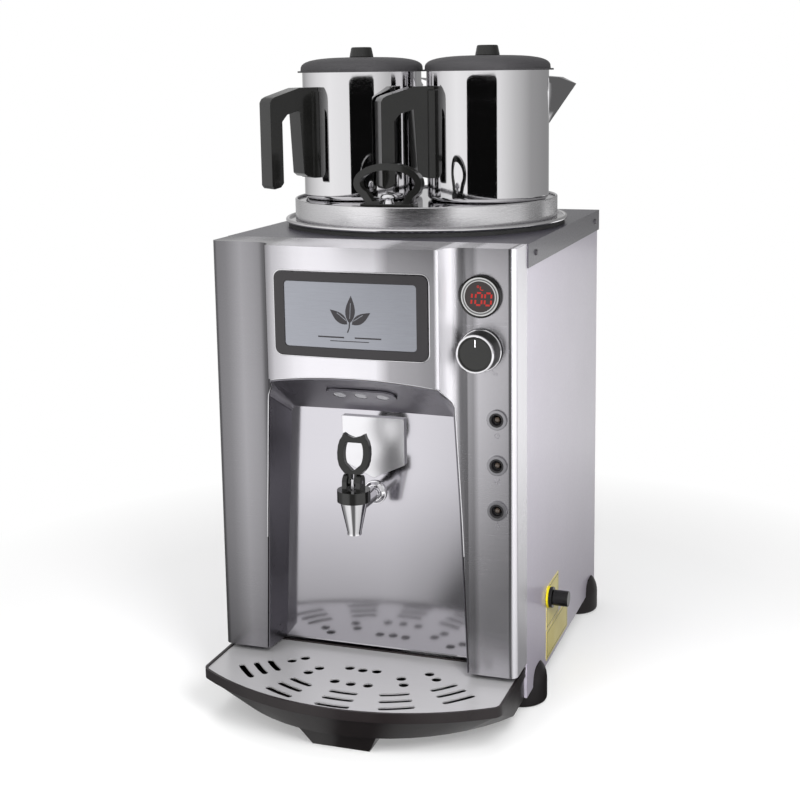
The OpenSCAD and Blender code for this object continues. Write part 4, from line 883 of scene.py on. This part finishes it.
def badge_motif():
    """A plain sprig of three leaves over three rules, printed on the badge panel."""
    tree = tree_of("badge_panel")
    sprig = [leaf(x, SPRIG_Z + dz, length, turn, width) for x, dz, length, turn, width in LEAVES]
    sprig += stroke([(x, SPRIG_Z + dz) for x, dz in STEM], STEM_WIDTH)
    ink("badge_sprig", sprig, "ink", tree)
    veins = []
    for turn, end in VEINS:
        veins += stroke([polar(SPRIG_X, SPRIG_Z, r, turn) for r in (VEIN_START, end)], VEIN_WIDTH)
    ink("badge_veins", veins, "badge_silver", tree, lift=VEIN_LIFT)
    rules = []
    for x0, x1, dz, width in RULES:
        for quad in stroke([(x0, BADGE_Z + dz), (x1, BADGE_Z + dz)], width):
            rules += cut_along(quad)
    ink("badge_rules", rules, "ink", tree)


# ---- Display, knob and lamps: turned profiles are (radius, distance to the front) ----

SEGMENTS = {"0": "abcdef", "1": "bc", "2": "abged", "4": "fgbc", "6": "afgedc", "8": "abcdefg"}
SEGMENT_GAP = 0.6  # how much each end of a segment is cut back, in widths

FIGURES = (("1", -0.0124), ("0", -0.0014), ("0", 0.0088))  # figure, distance to the right
FIGURES_DROP, FIGURE_SIZE = 0.0024, (0.0068, 0.0128, 0.0019)  # size: width, height, stroke
DISPLAY_ARCS = (  # the degree sign and the unit: right, up, radius, start, end, stroke
    (-0.0020, 0.0106, 0.0011, 0, 360, 0.0007), (0.0024, 0.0090, 0.0021, -40, -220, 0.0010),
)
ARC_STEPS = 8
# A black ring inside the display bezel: a painted shadow line at its edge
DISPLAY_SHADOW_RING = ((0.0205, 0.0), (0.0205, 0.0006), (0.0212, 0.0009), (0.0225, 0.0006), (0.0226, -0.0040),
               (0.0222, -0.0040), (0.0222, 0.0))
RIM_SHADE = 35  # degrees from which the rim's edge shows

DIAL_START, DIAL_STEP, DIAL_TICKS, TICKS_PER_LONG = -150, 10, 31, 5
TICK_FROM = 0.0243
LONG_TICK, SHORT_TICK = (0.0262, 0.0006), (0.0254, 0.0004)  # outer end, width
NUMBERS, NUMBERS_STEP, NUMBERS_R = ("0", "20", "40", "60", "80", "100"), 60, 0.0288
NUMBER_PITCH, NUMBER_SIZE = 0.0024, (0.0013, 0.0026, 0.0004)
KNOB_RIM = ((0.0184, -0.0004), (0.0184, 0.0004), (0.0188, 0.0008), (0.0198, 0.0008), (0.0206, 0.0002),
            (0.0208, -0.0030), (0.0204, -0.0030), (0.0204, -0.0004))
KNOB_BASE_RING = ((0.0220, -0.0222), (0.0231, -0.0222), (0.0231, -0.0205), (0.0225, -0.0198),
                  (0.0220, -0.0198))
KNOB_STEPS = 96
POINTER_FROM, POINTER_TO, POINTER_WIDTH = 0.0075, 0.0150, 0.0012

LAMP_WELL = ((0.00640, 0.0029), (0.00640, -0.0035), (0.0034, -0.0035), (0.0034, -0.0030),
             (0.0050, -0.0022), (0.0056, 0.0030), (0.0060, 0.0034), (0.0076, 0.0034), (0.0078, 0.0031),
             (0.0078, 0.0029))
LAMP_STEPS = 48
SYMBOL_DROP, SYMBOL_LINE = 0.0175, 0.0006  # from a lamp's middle down to its symbol's, and the stroke
POWER_RING, POWER_STROKE = (0.0026, 35, 325, 14), (0.0034, 0.0004)  # arc; heights of the stroke's ends
WAVES, WAVE_SWING, WAVE_TURN, WAVE_POINTS = (-0.0026, 0, 0.0026), 0.0006, 1.25, 7
WAVE_DROP, WAVE_RISE = 0.003, 0.001  # its foot below the middle, and how much each point rises
DROP_TIP, DROP_SINK, DROP_R = 0.0040, 0.0008, 0.0023
DROP_START, DROP_TURN, DROP_POINTS = 2.2, 0.44, 11  # radians from straight down


def digit(text, cx, cz, w, h, t, slant=0.08):
    """Seven-segment strokes of one digit, t wide."""
    x0, x1, z0, z1, zm = cx - w / 2, cx + w / 2, cz - h / 2, cz + h / 2, cz
    ends = {"a": ((x0, z1), (x1, z1)), "b": ((x1, z1), (x1, zm)), "c": ((x1, zm), (x1, z0)),
            "d": ((x0, z0), (x1, z0)), "e": ((x0, zm), (x0, z0)), "f": ((x0, z1), (x0, zm)),
            "g": ((x0, zm), (x1, zm))}
    quads = []
    for name in SEGMENTS[text]:
        (ax, az), (bx, bz) = ends[name]
        d = Vector((bx - ax, bz - az)).normalized() * t * SEGMENT_GAP
        (ax, az), (bx, bz) = (ax + d.x, az + d.y), (bx - d.x, bz - d.y)
        for quad in stroke([(ax, az), (bx, bz)], t):
            quads.append([(x + (z - cz) * slant, z) for x, z in quad])
    return quads


def display():
    """The display's lit figures with a degree sign and unit, and a black ring inside its bezel as a painted
    shadow line.
    """
    lit = []
    for text, dx in FIGURES:
        lit += digit(text, DISPLAY.x + dx, DISPLAY.z - FIGURES_DROP, *FIGURE_SIZE)
    for dx, dz, radius, start, end, width in DISPLAY_ARCS:
        lit += stroke(arc(DISPLAY.x + dx, DISPLAY.z + dz, radius, start, end, ARC_STEPS), width)
    ink("display_digits", lit, "red_light", tree_of("display_window"))
    bm = bmesh.new()
    lathe(bm, DISPLAY_SHADOW_RING, Vector((DISPLAY.x, DISPLAY_FACE_Y, DISPLAY.z)))
    new_piece("display_rim", bm, "black_gloss", "housing", RIM_SHADE)


def knob_marks():
    """Dial ticks with numbers on the fascia round the knob."""
    marks = []
    for i in range(DIAL_TICKS):
        outer, width = LONG_TICK if i % TICKS_PER_LONG == 0 else SHORT_TICK
        turn = DIAL_START + DIAL_STEP * i
        marks += stroke([polar(KNOB.x, KNOB.z, r, turn) for r in (TICK_FROM, outer)], width)
    for i, label in enumerate(NUMBERS):
        cx, cz = polar(KNOB.x, KNOB.z, NUMBERS_R, DIAL_START + NUMBERS_STEP * i)
        for k, text in enumerate(label):
            dx = (k - (len(label) - 1) / 2) * NUMBER_PITCH
            marks += digit(text, cx + dx, cz, *NUMBER_SIZE, slant=0.0)
    kept = [mark for mark in marks if all(front_y(x, z) is not None for x, z in mark)]
    ink("knob_dial", kept, "grey_ink", FASCIA_TREE)


def knob_trim():
    """The knob's bright rim, its base ring and its pointer line."""
    face = Vector((KNOB.x, KNOB_FACE_Y, KNOB.z))
    for name, profile in (("knob_rim", KNOB_RIM), ("knob_base_ring", KNOB_BASE_RING)):
        bm = bmesh.new()
        lathe(bm, profile, face, KNOB_STEPS)
        new_piece(name, bm, "chrome_part", "knob")
    pointer = stroke([(KNOB.x, KNOB.z + POINTER_FROM), (KNOB.x, KNOB.z + POINTER_TO)], POINTER_WIDTH)
    ink("knob_pointer", pointer, "white_ink", tree_of("thermostat_knob"), body="knob")


def power_symbol(z):
    """A broken ring with a stroke in its gap."""
    bar = [(LAMP_X, z + end) for end in POWER_STROKE]
    return stroke(arc(LAMP_X, z, *POWER_RING), SYMBOL_LINE) + stroke(bar, SYMBOL_LINE)


def steam_symbol(z):
    """Three rising waves."""
    quads = []
    for dx in WAVES:
        wave = [(LAMP_X + dx + WAVE_SWING * math.sin(k * WAVE_TURN), z - WAVE_DROP + WAVE_RISE * k)
                for k in range(WAVE_POINTS)]
        quads += stroke(wave, SYMBOL_LINE)
    return quads


def drop_symbol(z):
    """A drop with its tip up."""
    tip = (LAMP_X, z + DROP_TIP)
    belly = [(LAMP_X + DROP_R * math.sin(a), z - DROP_SINK - DROP_R * math.cos(a))
             for a in [DROP_START - DROP_TURN * k for k in range(DROP_POINTS)]]
    return stroke([tip, *belly, tip], SYMBOL_LINE)


def lamp_details():
    """Black wells in the lamps' bezels and a small plain symbol under each lamp."""
    symbols = []
    for i, (z, symbol) in enumerate(zip(LAMP_Z, (power_symbol, steam_symbol, drop_symbol))):
        bm = bmesh.new()
        lathe(bm, LAMP_WELL, Vector((LAMP_X, FRONT_Y, z)), LAMP_STEPS)
        new_piece(f"lamp_well_{i + 1}", bm, "lamp_well", "housing")
        symbols += symbol(z - SYMBOL_DROP)
    ink("lamp_symbols", symbols, "grey_ink", FASCIA_TREE)


# ---- Side labels ----

LABELS = ((-0.098, -0.036, 0.068, 0.120), (-0.098, 0.014, 0.030, 0.066))  # y from and to, z from and to
LABEL_X = SIDE_X + 0.0006
RULE_INSET, RULE_WIDTH = 0.0025, 0.0006
RULE_SINK, RULE_RISE = -0.00004, 0.00008  # its inner and outer face, from the plate's face
BOX_FACES = ((0, 1, 2, 3), (7, 6, 5, 4), (0, 4, 5, 1), (1, 5, 6, 2), (2, 6, 7, 3), (3, 7, 4, 0))


def side_plates():
    """Plain border rules on the bare label plates."""
    w = RULE_WIDTH
    bm = bmesh.new()
    for y0, y1, z0, z1 in LABELS:
        y0, y1, z0, z1 = y0 + RULE_INSET, y1 - RULE_INSET, z0 + RULE_INSET, z1 - RULE_INSET
        for ya, yb, za, zb in ((y0, y1, z0, z0 + w), (y0, y1, z1 - w, z1), (y0, y0 + w, z0, z1),
                               (y1 - w, y1, z0, z1)):
            corners = [bm.verts.new((LABEL_X + dx, y, z)) for dx in (RULE_SINK, RULE_RISE)
                       for y, z in ((ya, za), (yb, za), (yb, zb), (ya, zb))]
            for face in BOX_FACES:
                bm.faces.new([corners[i] for i in face])
    bmesh.ops.recalc_face_normals(bm, faces=bm.faces)
    new_piece("label_rules", bm, "ink", "housing")


# ---- CAD nodes, then everything ----

# CAD nodes with rounded edges, and how wide the rounding is
ROUNDED = {
    "left_pot_handle": 0.0045, "right_pot_handle": 0.0045, "lid_handle": 0.0016, "tap_lever": 0.0016,
    "tap_bonnet": 0.0007, "drip_tray": 0.0010, "badge_frame": 0.0006, "top_cover": 0.0008,
    "thermostat_knob": 0.0006, "reset_cap": 0.0008, "reset_collar": 0.0005, "display_bezel": 0.0006,
    "lamp_bezels": 0.0005, "left_lid_knob": 0.0006, "right_lid_knob": 0.0006,
    "reset_washer": 0.0004, "tap_rosette": 0.0004, "tap_plate": 0.0006,
}
# CAD nodes that only take smooth shading
SMOOTHED = (
    "fascia", "niche_liner", "corner_feet", "left_pot", "right_pot", "left_pot_lid", "right_pot_lid",
    "tap_body", "lid_handle_bolt", "tank_lid", "boiler_tank", "niche_light", "left_side_panel",
    "right_side_panel", "case_screws", "badge_panel",
)


def dress_nodes():
    for node, obj in NODES.items():
        dress(obj, finish_of(node))
    for node, width in ROUNDED.items():
        reworked(node, width)
    for node in SMOOTHED:
        reworked(node)


camera()
studio()
dress_nodes()
mouth_bead()
badge_trim()
badge_motif()
display()
knob_marks()
knob_trim()
lamp_details()
side_plates()
